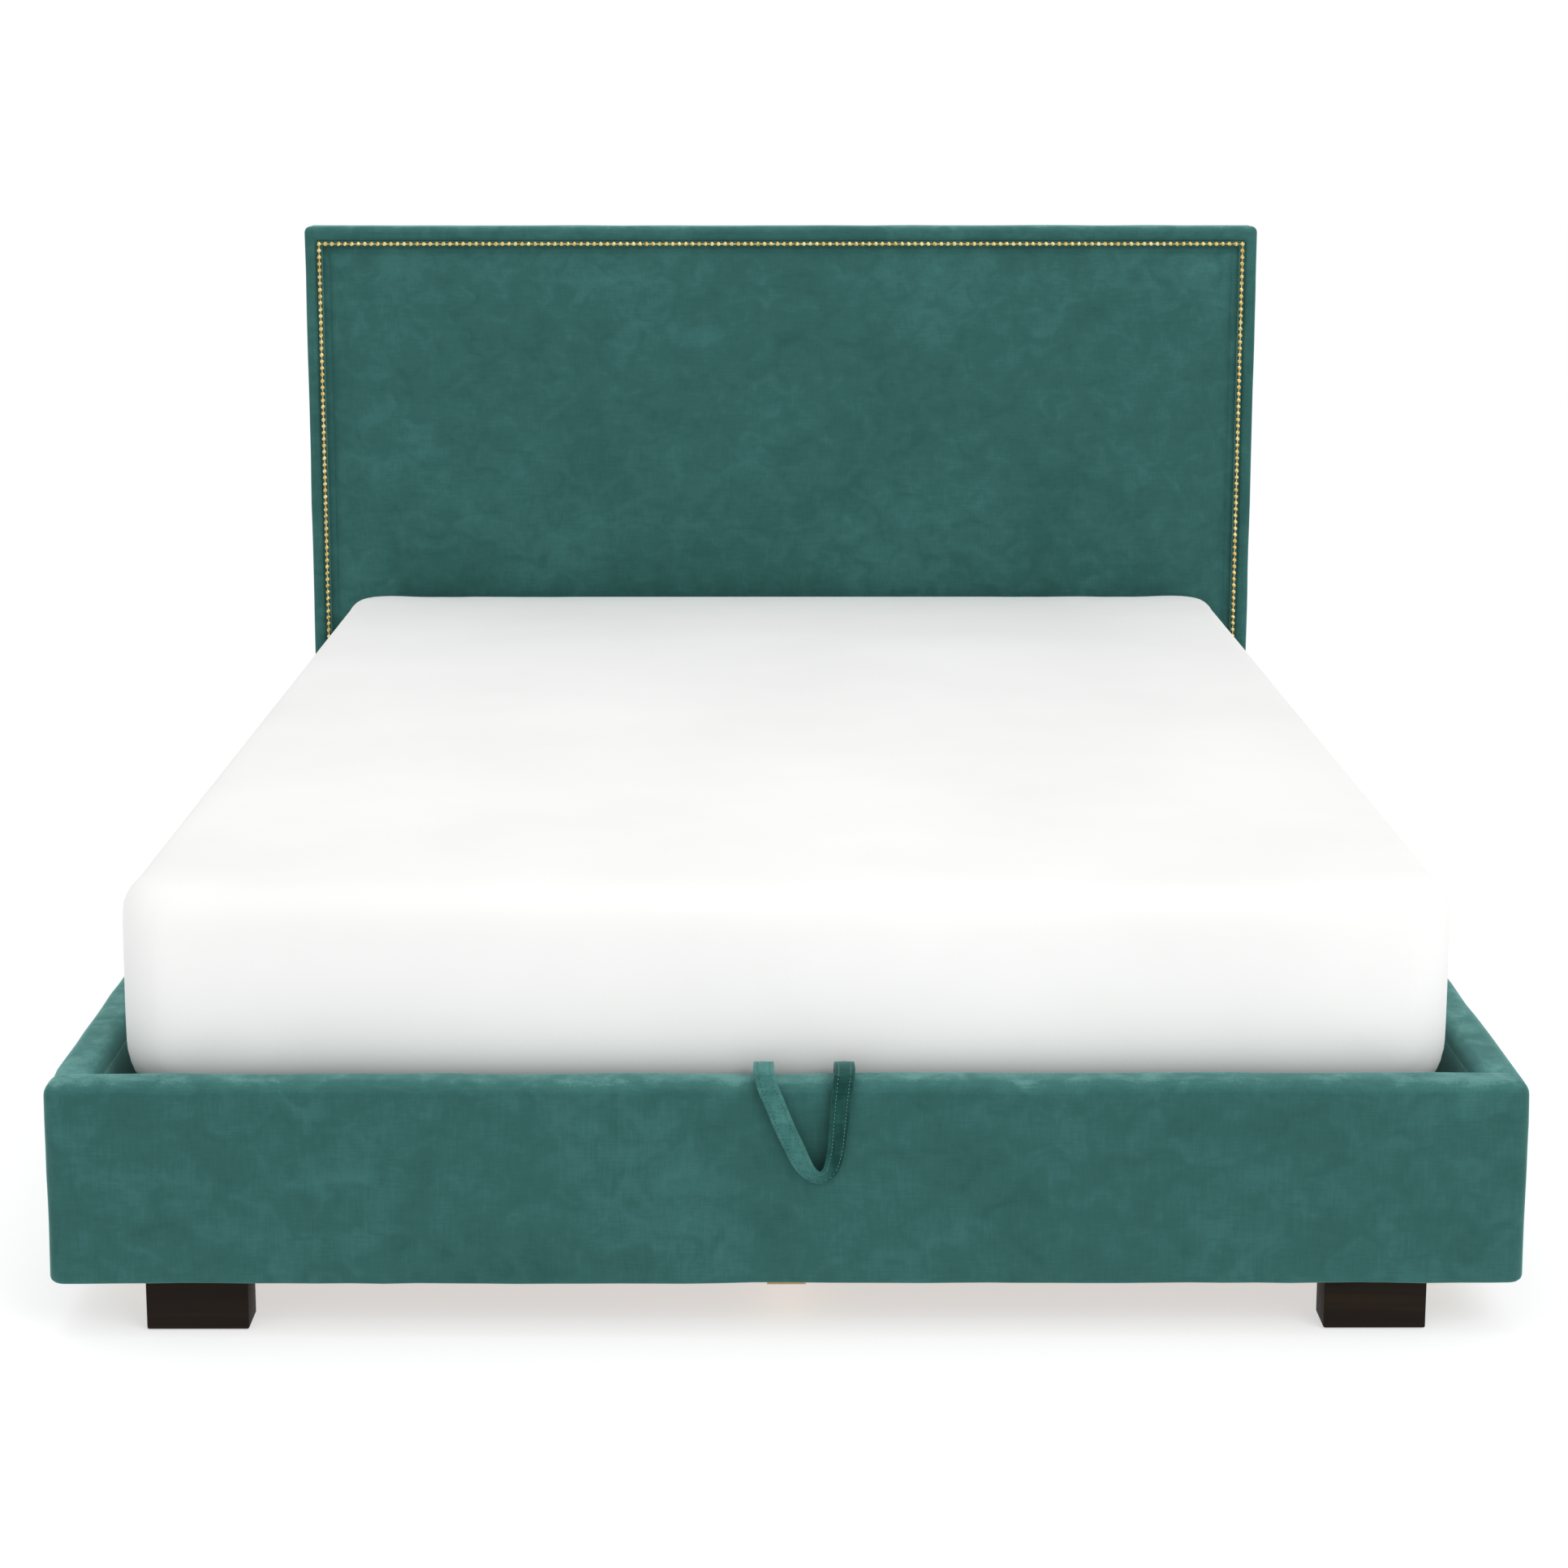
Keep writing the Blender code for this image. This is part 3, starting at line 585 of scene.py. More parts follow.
def inner_panel():
    bm = bmesh.new()
    shy = Vector((PANEL_SHY, 0, PANEL_SHY))
    box_at(bm, PANEL_LOW + Vector((PANEL_SHY, PANEL_BACK, 0)), PANEL_HIGH - shy)
    front = [e for e in bm.edges
             if all(v.co.y < HEAD_Y + 0.003 for v in e.verts)
             and any(v.co.z > PANEL_LOW.z + 0.01 for v in e.verts)]
    bmesh.ops.bevel(bm, geom=front, offset=RIM_ROUND, segments=5, profile=0.5,
                    affect="EDGES", material=-1)
    obj = piece("headboard_inner_panel", bm, VELVET, "base",
                ["headboard_center_pad"])
    back = HEAD_Y + PANEL_STAPLED
    pad_out(obj, 0.0085, 2.5, 0.006, lambda co: co.y > back)
    return obj


print("panel faces:", len(inner_panel().data.polygons))

# %% [markdown]
# ## The headboard's border
# A slim padded roll runs up both sides and across the top. Its section is one row of
# points, from the nail groove over the front, round the outer edge and along the side to
# the back. The row is extruded up, across and down, and every point turns at its own
# distance from the edge, which gives the corners their mitre.

# %% Border roll
BORDER_ROUND = 0.011


def border_section():
    """(distance in from the outer edge, depth behind the front) along the section."""
    width = HALF - NAILS_HIGH.x
    depth = BORDER_HIGH.y - BORDER_LOW.y
    across = [(width * (1 - t), 0.0055 * (1 - sin(pi * min(t * 2.2, 1) / 2)))
              for t in (0.0, 0.04, 0.1, 0.2, 0.32, 0.5)]
    turn = [(BORDER_ROUND * (1 - sin(a)), BORDER_ROUND * (1 - cos(a)))
            for a in (radians(18 * i) for i in range(6))]
    side = [(0.0004, depth * t) for t in (0.45, 0.7, 0.93)]
    back = [(0.002, depth - 0.001), (0.006, depth)]
    inside = [(width * 0.86, depth), (width * 0.86, 0.026), (width - 0.0004, 0.026)]
    return across + turn + side + back + inside


def border_ring(section, side, step, top):
    """Places of the section at one step of the path. side is -1 or 1."""
    side_wide = HALF - NAILS_HIGH.x - BORDER_ROUND
    top_wide = BORDER_HIGH.z - NAILS_HIGH.z - BORDER_ROUND
    ring = []
    for inward, depth in section:
        radius = max(BORDER_ROUND - inward, 0.0)
        flat_in = max(inward - BORDER_ROUND, 0.0)
        x = HALF - BORDER_ROUND - flat_in + radius * cos(step)
        z = BORDER_HIGH.z - BORDER_ROUND - flat_in * top_wide / side_wide \
            + radius * sin(step)
        ring.append(Vector((side * x, BORDER_LOW.y + depth, z if top else BORDER_LOW.z)))
    return ring


def border():
    section = border_section()
    turns = [radians(15 * i) for i in range(7)]
    rings = [border_ring(section, -1, 0, False)]
    rings += [border_ring(section, -1, a, True) for a in turns]
    rings += [border_ring(section, 1, a, True) for a in reversed(turns)]
    rings.append(border_ring(section, 1, 0, False))
    bm = bmesh.new()
    carry(bm, rings)
    bmesh.ops.remove_doubles(bm, verts=bm.verts, dist=2e-5)
    bmesh.ops.dissolve_degenerate(bm, edges=bm.edges, dist=1e-6)
    slices(bm, 0, steps(-HALF + 0.04, HALF - 0.04, 40))
    slices(bm, 2, steps(BORDER_LOW.z, BORDER_HIGH.z - 0.04, 24))
    bm.normal_update()
    swell([v for v in bm.verts if v.co.y < BORDER_HIGH.y - 0.004], 0.0009, 0.09, 3.1)
    obj = piece("headboard_border_roll", bm, VELVET, "base",
                ["headboard_border_pad"])
    return obj


print("border faces:", len(border().data.polygons))

# %% [markdown]
# ## The nailhead trim
# Domed brass heads stand shoulder to shoulder, 11.3 mm from middle to middle, joined by
# a thin strip that shows between them as short gold links. One dome is the upper half of
# a small sphere, and the row repeats it up one side, over the top and down the other.

# %% Nailheads and their strip
NAIL_PITCH = 0.0113
NAIL_R = 0.0044
NAIL_DOME = 0.72              # height of a head as a share of a half ball
NAIL_SEAT = 0.0010            # the heads sit this far behind the front
ROW_HALF = 0.0045             # half of the band that the row takes
STRIP_PROUD = 0.0006
STRIP_HALF = 0.0010
GROOVE = 0.011               # depth of the velvet in the groove beside the nails
GROOVE_START = 0.0040         # it starts this far in from the middle of the nails
GROOVE_REACH = 0.022          # and reaches this far in
LEDGE = 0.0022
LEDGE_BACK = 0.024
LEDGE_HALF = 0.0043


def nail_places():
    x, z = NAILS_HIGH.x - ROW_HALF, NAILS_HIGH.z - ROW_HALF
    across = round(2 * x / NAIL_PITCH)
    down = int((z - NAILS_LOW.z - NAIL_R) / NAIL_PITCH)
    row = [(-x + 2 * x * i / across, z) for i in range(across + 1)]
    sides = [(s * x, z - NAIL_PITCH * (i + 1)) for s in (-1, 1) for i in range(down)]
    return row + sides


def nailheads():
    bm = bmesh.new()
    seat = HEAD_Y + NAIL_SEAT
    for x, z in nail_places():
        place = Matrix.Translation((x, seat, z)) @ Matrix.Rotation(pi / 2, 4, "X") \
            @ Matrix.Diagonal((1, 1, NAIL_DOME, 1))
        bmesh.ops.create_uvsphere(bm, u_segments=10, v_segments=6, radius=NAIL_R,
                                  matrix=place)
    geometry = bm.verts[:] + bm.edges[:] + bm.faces[:]
    bmesh.ops.bisect_plane(bm, geom=geometry, plane_co=(0, seat + 0.0001, 0),
                           plane_no=(0, 1, 0), clear_outer=True)
    rims = [e for e in bm.edges if e.is_boundary]
    bmesh.ops.holes_fill(bm, edges=rims)
    return piece("brass_nailheads", bm, BRASS, "base", ["nail_strip"])


def nail_strip():
    x, z = NAILS_HIGH.x - ROW_HALF, NAILS_HIGH.z - ROW_HALF
    front, back = HEAD_Y - STRIP_PROUD, HEAD_Y + NAIL_SEAT
    bm = bmesh.new()
    for side in (-1, 1):
        box_at(bm, (side * x - STRIP_HALF, front, NAILS_LOW.z),
               (side * x + STRIP_HALF, back, z + STRIP_HALF), 0.0005, 1)
    box_at(bm, (-x + STRIP_HALF, front, z - STRIP_HALF),
           (x - STRIP_HALF, back, z + STRIP_HALF), 0.0005, 1)
    piece("nailhead_link_strip", bm, BRASS, "base")



def velvet_under_nails():
    """A ledge of velvet that the nails go through, and a deeper one in the groove."""
    x, z = NAILS_HIGH.x - ROW_HALF, NAILS_HIGH.z - ROW_HALF
    ledge, deep, back = HEAD_Y + LEDGE, HEAD_Y + GROOVE, HEAD_Y + LEDGE_BACK
    bm = bmesh.new()
    for side in (-1, 1):
        box_at(bm, (side * x - LEDGE_HALF, ledge, NAILS_LOW.z),
               (side * x + LEDGE_HALF, back, z + LEDGE_HALF))
    box_at(bm, (-x + ROW_HALF, ledge, z - LEDGE_HALF), (x - ROW_HALF, back, z + LEDGE_HALF))
    for side in (-1, 1):
        near, far = sorted((side * (x - GROOVE_START), side * (x - GROOVE_REACH)))
        box_at(bm, (near, deep, NAILS_LOW.z), (far, back, z - GROOVE_START))
    box_at(bm, (-x + GROOVE_REACH, deep, z - GROOVE_REACH),
           (x - GROOVE_REACH, back, z - GROOVE_START))
    piece("velvet_under_nails", bm, VELVET, "base")


nailheads()
nail_strip()
velvet_under_nails()
print("nails:", len(nail_places()))

# %% [markdown]
# ## The rails' covers
# Each rail is a board in foam and velvet. The cover starts as a box, its top edges get
# the generous round of the foam, and the face towards the storage space is inset and
# pushed in to leave room for the board. Cuts along the length let a soft noise move
# the cloth a millimetre in and out, as padding under velvet does. The foot rail's ends
# are rounded too. The side rails' ends stay square and tuck into its rounding, so that
# no gap shows at the corner.

# %% Rail covers
TOP_ROUNDING = 0.017
END_ROUNDING = 0.0185
LOWER_ROUNDING = 0.006
BOARD_RECESS = 0.0316
TUCK = 0.021                 # side covers run this far into the foot rail's cover
TUCK_IN = 0.0025             # and are this much slimmer there
LINING = 0.0012


def rail_cover(name, lowest, highest, along, inner, board, round_ends):
    """inner is the sign and axis of the face that the board fills."""
    bm = bmesh.new()
    box_at(bm, lowest, highest)
    if round_ends:
        ends = [e for e in bm.edges if abs(e.verts[0].co.z - e.verts[1].co.z) > 0.1]
        bmesh.ops.bevel(bm, geom=ends, offset=END_ROUNDING, segments=6, profile=0.5,
                        affect="EDGES", material=-1)
    for height, radius, count in ((highest.z, TOP_ROUNDING, 6), (lowest.z, LOWER_ROUNDING, 3)):
        rim = [e for e in bm.edges if all(abs(v.co.z - height) < 1e-5 for v in e.verts)
               and (round_ends or abs(e.verts[0].co[along] - e.verts[1].co[along]) > 0.1)]
        bmesh.ops.bevel(bm, geom=rim, offset=radius, segments=count, profile=0.5,
                        affect="EDGES", material=-1)
    sign, axis = inner
    plane = highest[axis] if sign > 0 else lowest[axis]
    bm.normal_update()
    inside = [f for f in bm.faces if sign * f.normal[axis] > 0.99
              and abs(f.calc_center_median()[axis] - plane) < 1e-4]
    bmesh.ops.inset_region(bm, faces=inside, thickness=0.010)
    push = Vector((0, 0, 0))
    push[axis] = -sign * BOARD_RECESS
    # the recess follows the board's own edges, so that the two meet
    b_low, b_high = low(board), high(board)
    corners = list({v for f in inside for v in f.verts})
    for vert in corners:
        for i in (along, 2):
            middle = (b_low[i] + b_high[i]) / 2
            vert.co[i] = (b_high[i] + 0.0003) if vert.co[i] > middle else (b_low[i] - 0.0003)
    ring = bmesh.ops.extrude_face_region(bm, geom=inside)["geom"]
    bmesh.ops.delete(bm, geom=inside, context="FACES_ONLY")
    bmesh.ops.translate(bm, vec=push, verts=[g for g in ring
                                             if isinstance(g, bmesh.types.BMVert)])
    slices(bm, along, steps(lowest[along], highest[along], 44))
    slices(bm, 2, steps(lowest.z + 0.01, highest.z - 0.02, 7))
    bm.normal_update()
    face = lambda v: -sign * v.co[axis] > -sign * plane + 0.004
    swell([v for v in bm.verts if face(v)], 0.0016, 0.11, 7.7)
    swell([v for v in bm.verts if face(v)], 0.0007, 0.035, 1.3)
    if not round_ends:
        front = min(v.co[along] for v in bm.verts)
        middle = (lowest.z + highest.z) / 2
        for vert in bm.verts:
            if vert.co[along] < front + 0.001:
                vert.co[axis] += sign * TUCK_IN
                vert.co.z += TUCK_IN if vert.co.z < middle else -TUCK_IN
    obj = piece(name, bm, VELVET, "base", [board.replace("_board", "_cover")])
    return obj


rail_cover("foot_rail_velvet", RAIL_LOW, RAIL_HIGH, 0, (1, 1), "foot_rail_board", True)
for side, sign in (("left", -1), ("right", 1)):
    node = "side_rail_%s_cover" % side
    rail_cover("side_rail_%s_velvet" % side, low(node) - Vector((0, TUCK, 0)), high(node), 1,
               (-sign, 0), "side_rail_%s_board" % side, False)
print("three rails covered")

# %% [markdown]
# A strip of the same velvet lines the upper part of the rails' inner faces, where the
# storage space can be seen beside the mattress. It is drawn in paler colours than the
# cover, as painted light in the shade between mattress and rail. It stops above the
# steel plates.

# %% Velvet lining of the inner faces
LINING_ABOVE_STEEL = 0.003
LINING_BELOW_ROUND = 0.001


def inner_lining():
    bm = bmesh.new()
    x, y = abs(low("side_rail_right_cover").x), RAIL_HIGH.y
    rear = high("side_rail_left_cover").y - LINING
    bottom = max(high(n).z for n in ("lift_base_plate_left", "corner_bracket_front_left",
                                     "corner_bracket_rear_left"))
    bottom += LINING_ABOVE_STEEL
    top = RAIL_HIGH.z - TOP_ROUNDING - LINING_BELOW_ROUND
    box_at(bm, (-x + LINING, y, bottom), (x - LINING, y + LINING, top), 0.0003, 1)
    for side in (-1, 1):
        near, far = sorted((side * x, side * (x - LINING)))
        box_at(bm, (near, y, bottom), (far, rear, top), 0.0003, 1)
    piece("rail_inner_lining", bm, PAINTED_LIGHT_LINING_VELVET, "base")
    return bottom, top


print("lining from %.3f to %.3f m" % inner_lining())

# %% [markdown]
# ## The pull strap
# A band of velvet is sewn to the deck's foot bar. It comes up between mattress and rail,
# arches over the rail and hangs in front as a loop. Where the loop turns, the band can't
# bend in its own plane, so it twists, which shows one leg flat and the other from its
# side. The band is one section carried along the path, and its stitching follows the
# same path.

# %% Strap path
STRAP_WIDE = 0.023
STRAP_THICK = 0.0032
STRAP_LEFT = low("pull_loop").x + STRAP_WIDE / 2
STRAP_RIGHT = high("pull_loop").x - STRAP_WIDE / 2
DECK_BAR = low("deck_foot_bar")


def smooth_path(points, count):
    """Points read from a smooth curve through the given ones."""
    found = []
    for i in range(len(points) - 1):
        p = [Vector(points[min(max(j, 0), len(points) - 1)]) for j in range(i - 1, i + 3)]
        for k in range(count):
            t = k / count
            found.append(0.5 * (2 * p[1] + (p[2] - p[0]) * t
                                + (2 * p[0] - 5 * p[1] + 4 * p[2] - p[3]) * t ** 2
                                + (3 * p[1] - p[0] - 3 * p[2] + p[3]) * t ** 3))
    return found + [Vector(points[-1])]


def strap_points():
    """The route, each point with the twist of the band in degrees."""
    slot = RAIL_HIGH.y + 0.0062
    bar = DECK_BAR.y - 0.0022
    top = RAIL_HIGH.z
    face = FOOT_Y

    def leg(x):
        return [((x, bar, DECK_BAR.z + 0.003), 0), ((x, bar - 0.001, DECK_BAR.z + 0.022), 0),
                ((x, slot + 0.006, MATTRESS_LOW.z - 0.007), 0),
                ((x, slot, MATTRESS_LOW.z + 0.010), 0), ((x, slot, top - 0.010), 0),
                ((x, slot - 0.008, top + 0.007), 0),
                ((x, slot - 0.026, top + 0.0115), 0),
                ((x, face + 0.012, top + 0.011), 0)]

    def hang(places):
        return [((STRAP_LEFT + x, face - out, top + z), twist) for x, out, z, twist in places]

    left = leg(STRAP_LEFT) + hang([
        (0.0020, 0.0040, 0.0060, 2), (0.0055, 0.0085, -0.0040, 4),
        (0.0120, 0.0095, -0.0190, 6), (0.0215, 0.0105, -0.0430, 8),
        (0.0345, 0.0115, -0.0710, 12), (0.0410, 0.0120, -0.0850, 18),
        (0.0480, 0.0125, -0.0955, 30)])
    tip = hang([(0.0560, 0.0130, -0.1020, 38), (0.0645, 0.0130, -0.1035, 40)])
    right = leg(STRAP_RIGHT) + hang([
        (0.0885, 0.0040, 0.0060, 4), (0.0870, 0.0085, -0.0040, 10),
        (0.0855, 0.0095, -0.0190, 16), (0.0828, 0.0105, -0.0500, 22),
        (0.0797, 0.0115, -0.0780, 28), (0.0735, 0.0125, -0.0965, 36)])
    return left + tip + right[::-1]


def strap_frames():
    """Places, and the directions across and out of the band, along the strap."""
    route = strap_points()
    places = smooth_path([p for p, _ in route], 5)
    twists = [v.x for v in smooth_path([(t, 0, 0) for _, t in route], 5)]
    frames = []
    for i, here in enumerate(places):
        ahead = places[min(i + 1, len(places) - 1)] - places[max(i - 1, 0)]
        along = ahead.normalized()
        flat = Vector((-along.z, 0, along.x))
        if here.y > FOOT_Y or flat.length < 0.4:
            flat = Vector((1 if i < len(places) / 2 else -1, 0, 0))
        flat.normalize()
        turn = radians(twists[i])
        across = flat * cos(turn) + along.cross(flat) * sin(turn)
        frames.append((here, across, along.cross(across)))
    return frames


STRAP = strap_frames()
print("strap length %.3f m" % sum((b[0] - a[0]).length for a, b in zip(STRAP, STRAP[1:])))

# %% Strap and its stitching
STITCH_PITCH = 0.0042
STITCH_IN = 0.0048


def crosses_to_loop(obj):
    """Bakes the strap's placement into its mesh; the strap rides on no body of the frame."""
    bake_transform(obj)


def strap():
    half, thin = STRAP_WIDE / 2, STRAP_THICK / 2
    edge = 0.0011
    groove, lip, sunk = half - STITCH_IN, 0.0010, 0.0009
    front = [(-half + edge, -thin), (-groove - lip, -thin), (-groove, -thin + sunk),
             (-groove + lip, -thin), (0, -thin * 1.12), (groove - lip, -thin),
             (groove, -thin + sunk), (groove + lip, -thin), (half - edge, -thin)]
    outline = [(-half, -thin * 0.3)] + front + [(half, -thin * 0.3), (half, thin * 0.3)] \
        + [(u, -v) for u, v in reversed(front)] + [(-half, thin * 0.3)]
    bm = bmesh.new()
    carry(bm, [[here + across * u + out * v for u, v in outline]
               for here, across, out in STRAP])
    obj = piece("pull_strap", bm, STRAP_VELVET, None, ["strap_tail", "pull_loop"])
    crosses_to_loop(obj)
    return obj


def strap_stitches():
    bm = bmesh.new()
    travelled = 0.0
    for (here, across, out), (ahead, _, _) in zip(STRAP, STRAP[1:]):
        step = (ahead - here).length
        while travelled < step:
            middle = here.lerp(ahead, travelled / step)
            along = (ahead - here).normalized()
            for side in (-1, 1):
                for face in (-1, 1):
                    place = middle + across * side * (STRAP_WIDE / 2 - STITCH_IN) \
                        + out * face * (STRAP_THICK / 2 - 0.0006)
                    axes = Matrix((along, across, out)).transposed().to_4x4()
                    bmesh.ops.create_icosphere(
                        bm, subdivisions=1, radius=1.0, matrix=Matrix.Translation(place)
                        @ axes @ Matrix.Diagonal((0.0016, 0.0006, 0.0006, 1)))
            travelled += STITCH_PITCH
        travelled -= step
    obj = piece("pull_strap_stitching", bm, THREAD, None)
    crosses_to_loop(obj)


print("strap faces:", len(strap().data.polygons))
strap_stitches()

# %% [markdown]
# ## Feet
# Block feet of solid rubberwood in an espresso stain. Their edges are eased with a
# sander, and a felt glide under each keeps it off the floor.

# %% Block feet and glides
GLIDE = 0.0015


def block_foot(side):
    node = "foot_" + side
    bottom, top = low(node), high(node)
    bm = bmesh.new()
    box_at(bm, bottom + Vector((0, 0, GLIDE)), top, 0.0022, 3)
    piece("block_foot_" + side, bm, STAINED, "base", [node])
    felt = bmesh.new()
    inset = Vector((0.006, 0.006, 0))
    box_at(felt, bottom + inset, Vector((top.x, top.y, GLIDE + 0.0002)) - inset)
    piece("felt_glide_" + side, felt, FELT, "base")


for side in ("left", "right"):
    block_foot(side)
print("feet stand on", GLIDE * 1000, "mm of felt")

# %% [markdown]
# ## The back of the headboard
# A sheet of spun-bonded felt closes the back. It is stapled round its edge, so it is
# tight at the staples and slacker between them, where the noise lets it wave slightly.
# The velvet is folded over the board's edge, and its hem shows round the felt.

# %% Dust cover and staples
STAPLE_PITCH = 0.055
STAPLE_IN = 0.010
HEM_THICK = 0.0009
HEM_REACH = 0.010


def dust_cover():
    bottom, top = low("headboard_back_cover"), high("headboard_back_cover")
    width, height = top.x - bottom.x, top.z - bottom.z
    middle = (bottom + top) / 2
    bm = bmesh.new()
    place = Matrix.Translation((middle.x, top.y, middle.z)) @ Matrix.Rotation(pi / 2, 4, "X") \
        @ Matrix.Diagonal((width / 2, height / 2, 1, 1))
    bmesh.ops.create_grid(bm, x_segments=90, y_segments=56, size=1.0, matrix=place)
    for vert in bm.verts:
        edge = min(vert.co.x - bottom.x, top.x - vert.co.x, vert.co.z - bottom.z,
                   top.z - vert.co.z)
        slack = min(edge / 0.08, 1.0)
        wave = noise.noise(Vector((vert.co.x * 5, 0, vert.co.z * 9)))
        vert.co.y -= 0.0008 * slack * (1 + wave)
    bmesh.ops.reverse_faces(bm, faces=bm.faces)
    obj = piece("stapled_dust_cover", bm, FELT, "base",
                ["headboard_back_cover"])
    return bottom, top


def staples(bottom, top):
    bm = bmesh.new()
    y = top.y
    x_low, x_high = bottom.x + STAPLE_IN, top.x - STAPLE_IN
    z_low, z_high = bottom.z + STAPLE_IN, top.z - STAPLE_IN
    across = round((x_high - x_low) / STAPLE_PITCH)
    up = round((z_high - z_low) / STAPLE_PITCH)
    row = [(x_low + (x_high - x_low) * i / across, z) for i in range(across + 1)
           for z in (z_low, z_high)]
    row += [(x, z_low + (z_high - z_low) * (i + 0.5) / up) for i in range(up)
            for x in (x_low, x_high)]
    for x, z in row:
        box_at(bm, (x - 0.005, y - 0.0002, z - 0.0005), (x + 0.005, y + 0.0006, z + 0.0005))
    piece("dust_cover_staples", bm, ZINC, "base")
    return len(row)


def back_hem():
    """Velvet folded over the back edges of the board, up to the dust cover."""
    felt_low, felt_high = low("headboard_back_cover"), high("headboard_back_cover")
    board_back = high("headboard_core").y
    near, far = board_back - 0.0002, board_back + HEM_THICK
    out_x = HALF - HEM_REACH
    top = BORDER_HIGH.z - HEM_REACH
    bm = bmesh.new()
    for side in (-1, 1):
        edges = sorted((side * out_x, side * (felt_high.x - 0.001)))
        box_at(bm, (edges[0], near, BORDER_LOW.z), (edges[1], far, top), 0.0004, 1)
    box_at(bm, (-felt_high.x, near, felt_high.z - 0.001), (felt_high.x, far, top), 0.0004, 1)
    piece("headboard_back_hem", bm, VELVET, "base")
    return far - felt_low.y


print("staples:", staples(*dust_cover()))
print("hem stands %.4f m behind the dust cover's front" % back_hem())

# %% [markdown]
# ## Bolts and pins
# Every plate is held by hexagon-headed bolts on washers, and every pivot by a flat
# rivet head. One function draws a bolt along X or Y, with its washer, and the lists
# below say where the fixings are on each plate.

# %% Fixings
BOLT_ACROSS = 0.0050
BOLT_HEAD = 0.0035
WASHER_R = 0.0085
WASHER = 0.0012
PLATE_THICK = 0.004
BRACKET_THICK = 0.003
POST_BOLTS = (0.20, 0.50, 0.80)                   # heights
PLATE_BOLTS = (0.03, 0.24, 0.55, 0.72, 0.97)      # shares of the plate's length
ARM_BOLTS = (0.14, 0.40, 0.88)                    # shares of the arm's length
ARM_INNER, ARM_OUTER = 0.7548, 0.760              # faces of the lift arm
STRUT_FACE = 0.7378                               # inner face of the gas spring's eye
RIVET_R, RIVET_HEAD = 0.0095, 0.0028


def disc(bm, centre, axis, radius, thick, sides, bevel=0.0004):
    """A short cylinder that stands on its centre and rises along the axis."""
    axis = Vector(axis)
    turn = Vector((0, 0, 1)).rotation_difference(axis).to_matrix().to_4x4()
    place = Matrix.Translation(Vector(centre) + axis * thick / 2) @ turn
    made = bmesh.ops.create_cone(bm, cap_ends=True, segments=sides, radius1=radius,
                                 radius2=radius, depth=thick, matrix=place)["verts"]
    tops = [e for v in made for e in v.link_edges
            if all((w.co - Vector(centre)).dot(axis) > thick * 0.9 for w in e.verts)]
    bmesh.ops.bevel(bm, geom=list(set(tops)), offset=bevel, segments=2, profile=0.5,
                    affect="EDGES", material=-1)


def bolt(bm, centre, axis):
    disc(bm, centre, axis, WASHER_R, WASHER, 20)
    disc(bm, Vector(centre) + Vector(axis) * WASHER, axis, BOLT_ACROSS, BOLT_HEAD, 6)


def base_bolts():
    bm = bmesh.new()
    for side, sign in (("left", -1), ("right", 1)):
        inner = (-sign, 0, 0)
        plate_low, plate_high = low("lift_base_plate_" + side), high("lift_base_plate_" + side)
        face = sign * (max(abs(plate_low.x), abs(plate_high.x)) - PLATE_THICK)
        for share in PLATE_BOLTS:
            y = plate_low.y + (plate_high.y - plate_low.y) * share
            bolt(bm, (face, y, plate_high.z - 0.011), inner)
        for end, into in (("front", 1), ("rear", -1)):
            node = "corner_bracket_%s_%s" % (end, side)
            b_low, b_high = low(node), high(node)
            side_face = sign * (max(abs(b_low.x), abs(b_high.x)) - BRACKET_THICK)
            end_face = b_low.y + BRACKET_THICK if into > 0 else b_high.y - BRACKET_THICK
            for z in (b_low.z + 0.018, b_high.z - 0.018):
                far_y = b_high.y - 0.016 if into > 0 else b_low.y + 0.016
                bolt(bm, (side_face, far_y, z), inner)
                bolt(bm, (side_face - sign * 0.042, end_face, z), (0, into, 0))
        post_low, post_high = low("headboard_post_" + side), high("headboard_post_" + side)
        x = (post_low.x + post_high.x) / 2
        for z in POST_BOLTS:
            disc(bm, (x, post_high.y, z), (0, 1, 0), 0.009, 0.0022, 20, 0.001)
    return piece("box_bolts", bm, ZINC, "base")


def deck_bolts():
    bm = bmesh.new()
    for side, sign in (("left", -1), ("right", 1)):
        arm_low, arm_high = low("lift_arm_" + side), high("lift_arm_" + side)
        face = sign * ARM_OUTER
        for share in ARM_BOLTS:
            y = arm_low.y + (arm_high.y - arm_low.y) * share
            disc(bm, (face, y, arm_high.z - 0.015), (sign, 0, 0), 0.007, 0.0016, 16)
        stop_low, stop_high = low("mattress_stop_" + side), high("mattress_stop_" + side)
        middle = (stop_low.x + stop_high.x) / 2
        for x in (middle - 0.018, middle + 0.018):
            bolt(bm, (x, stop_low.y + 0.015, stop_low.z), (0, 0, -1))
    return piece("deck_rivets_and_bolts", bm, ZINC, "deck")


def joint_place(name):
    return next(Vector(j["pos_m"]) for j in frame["record"]["behaviour"]["joints"]
                if j["name"] == name)


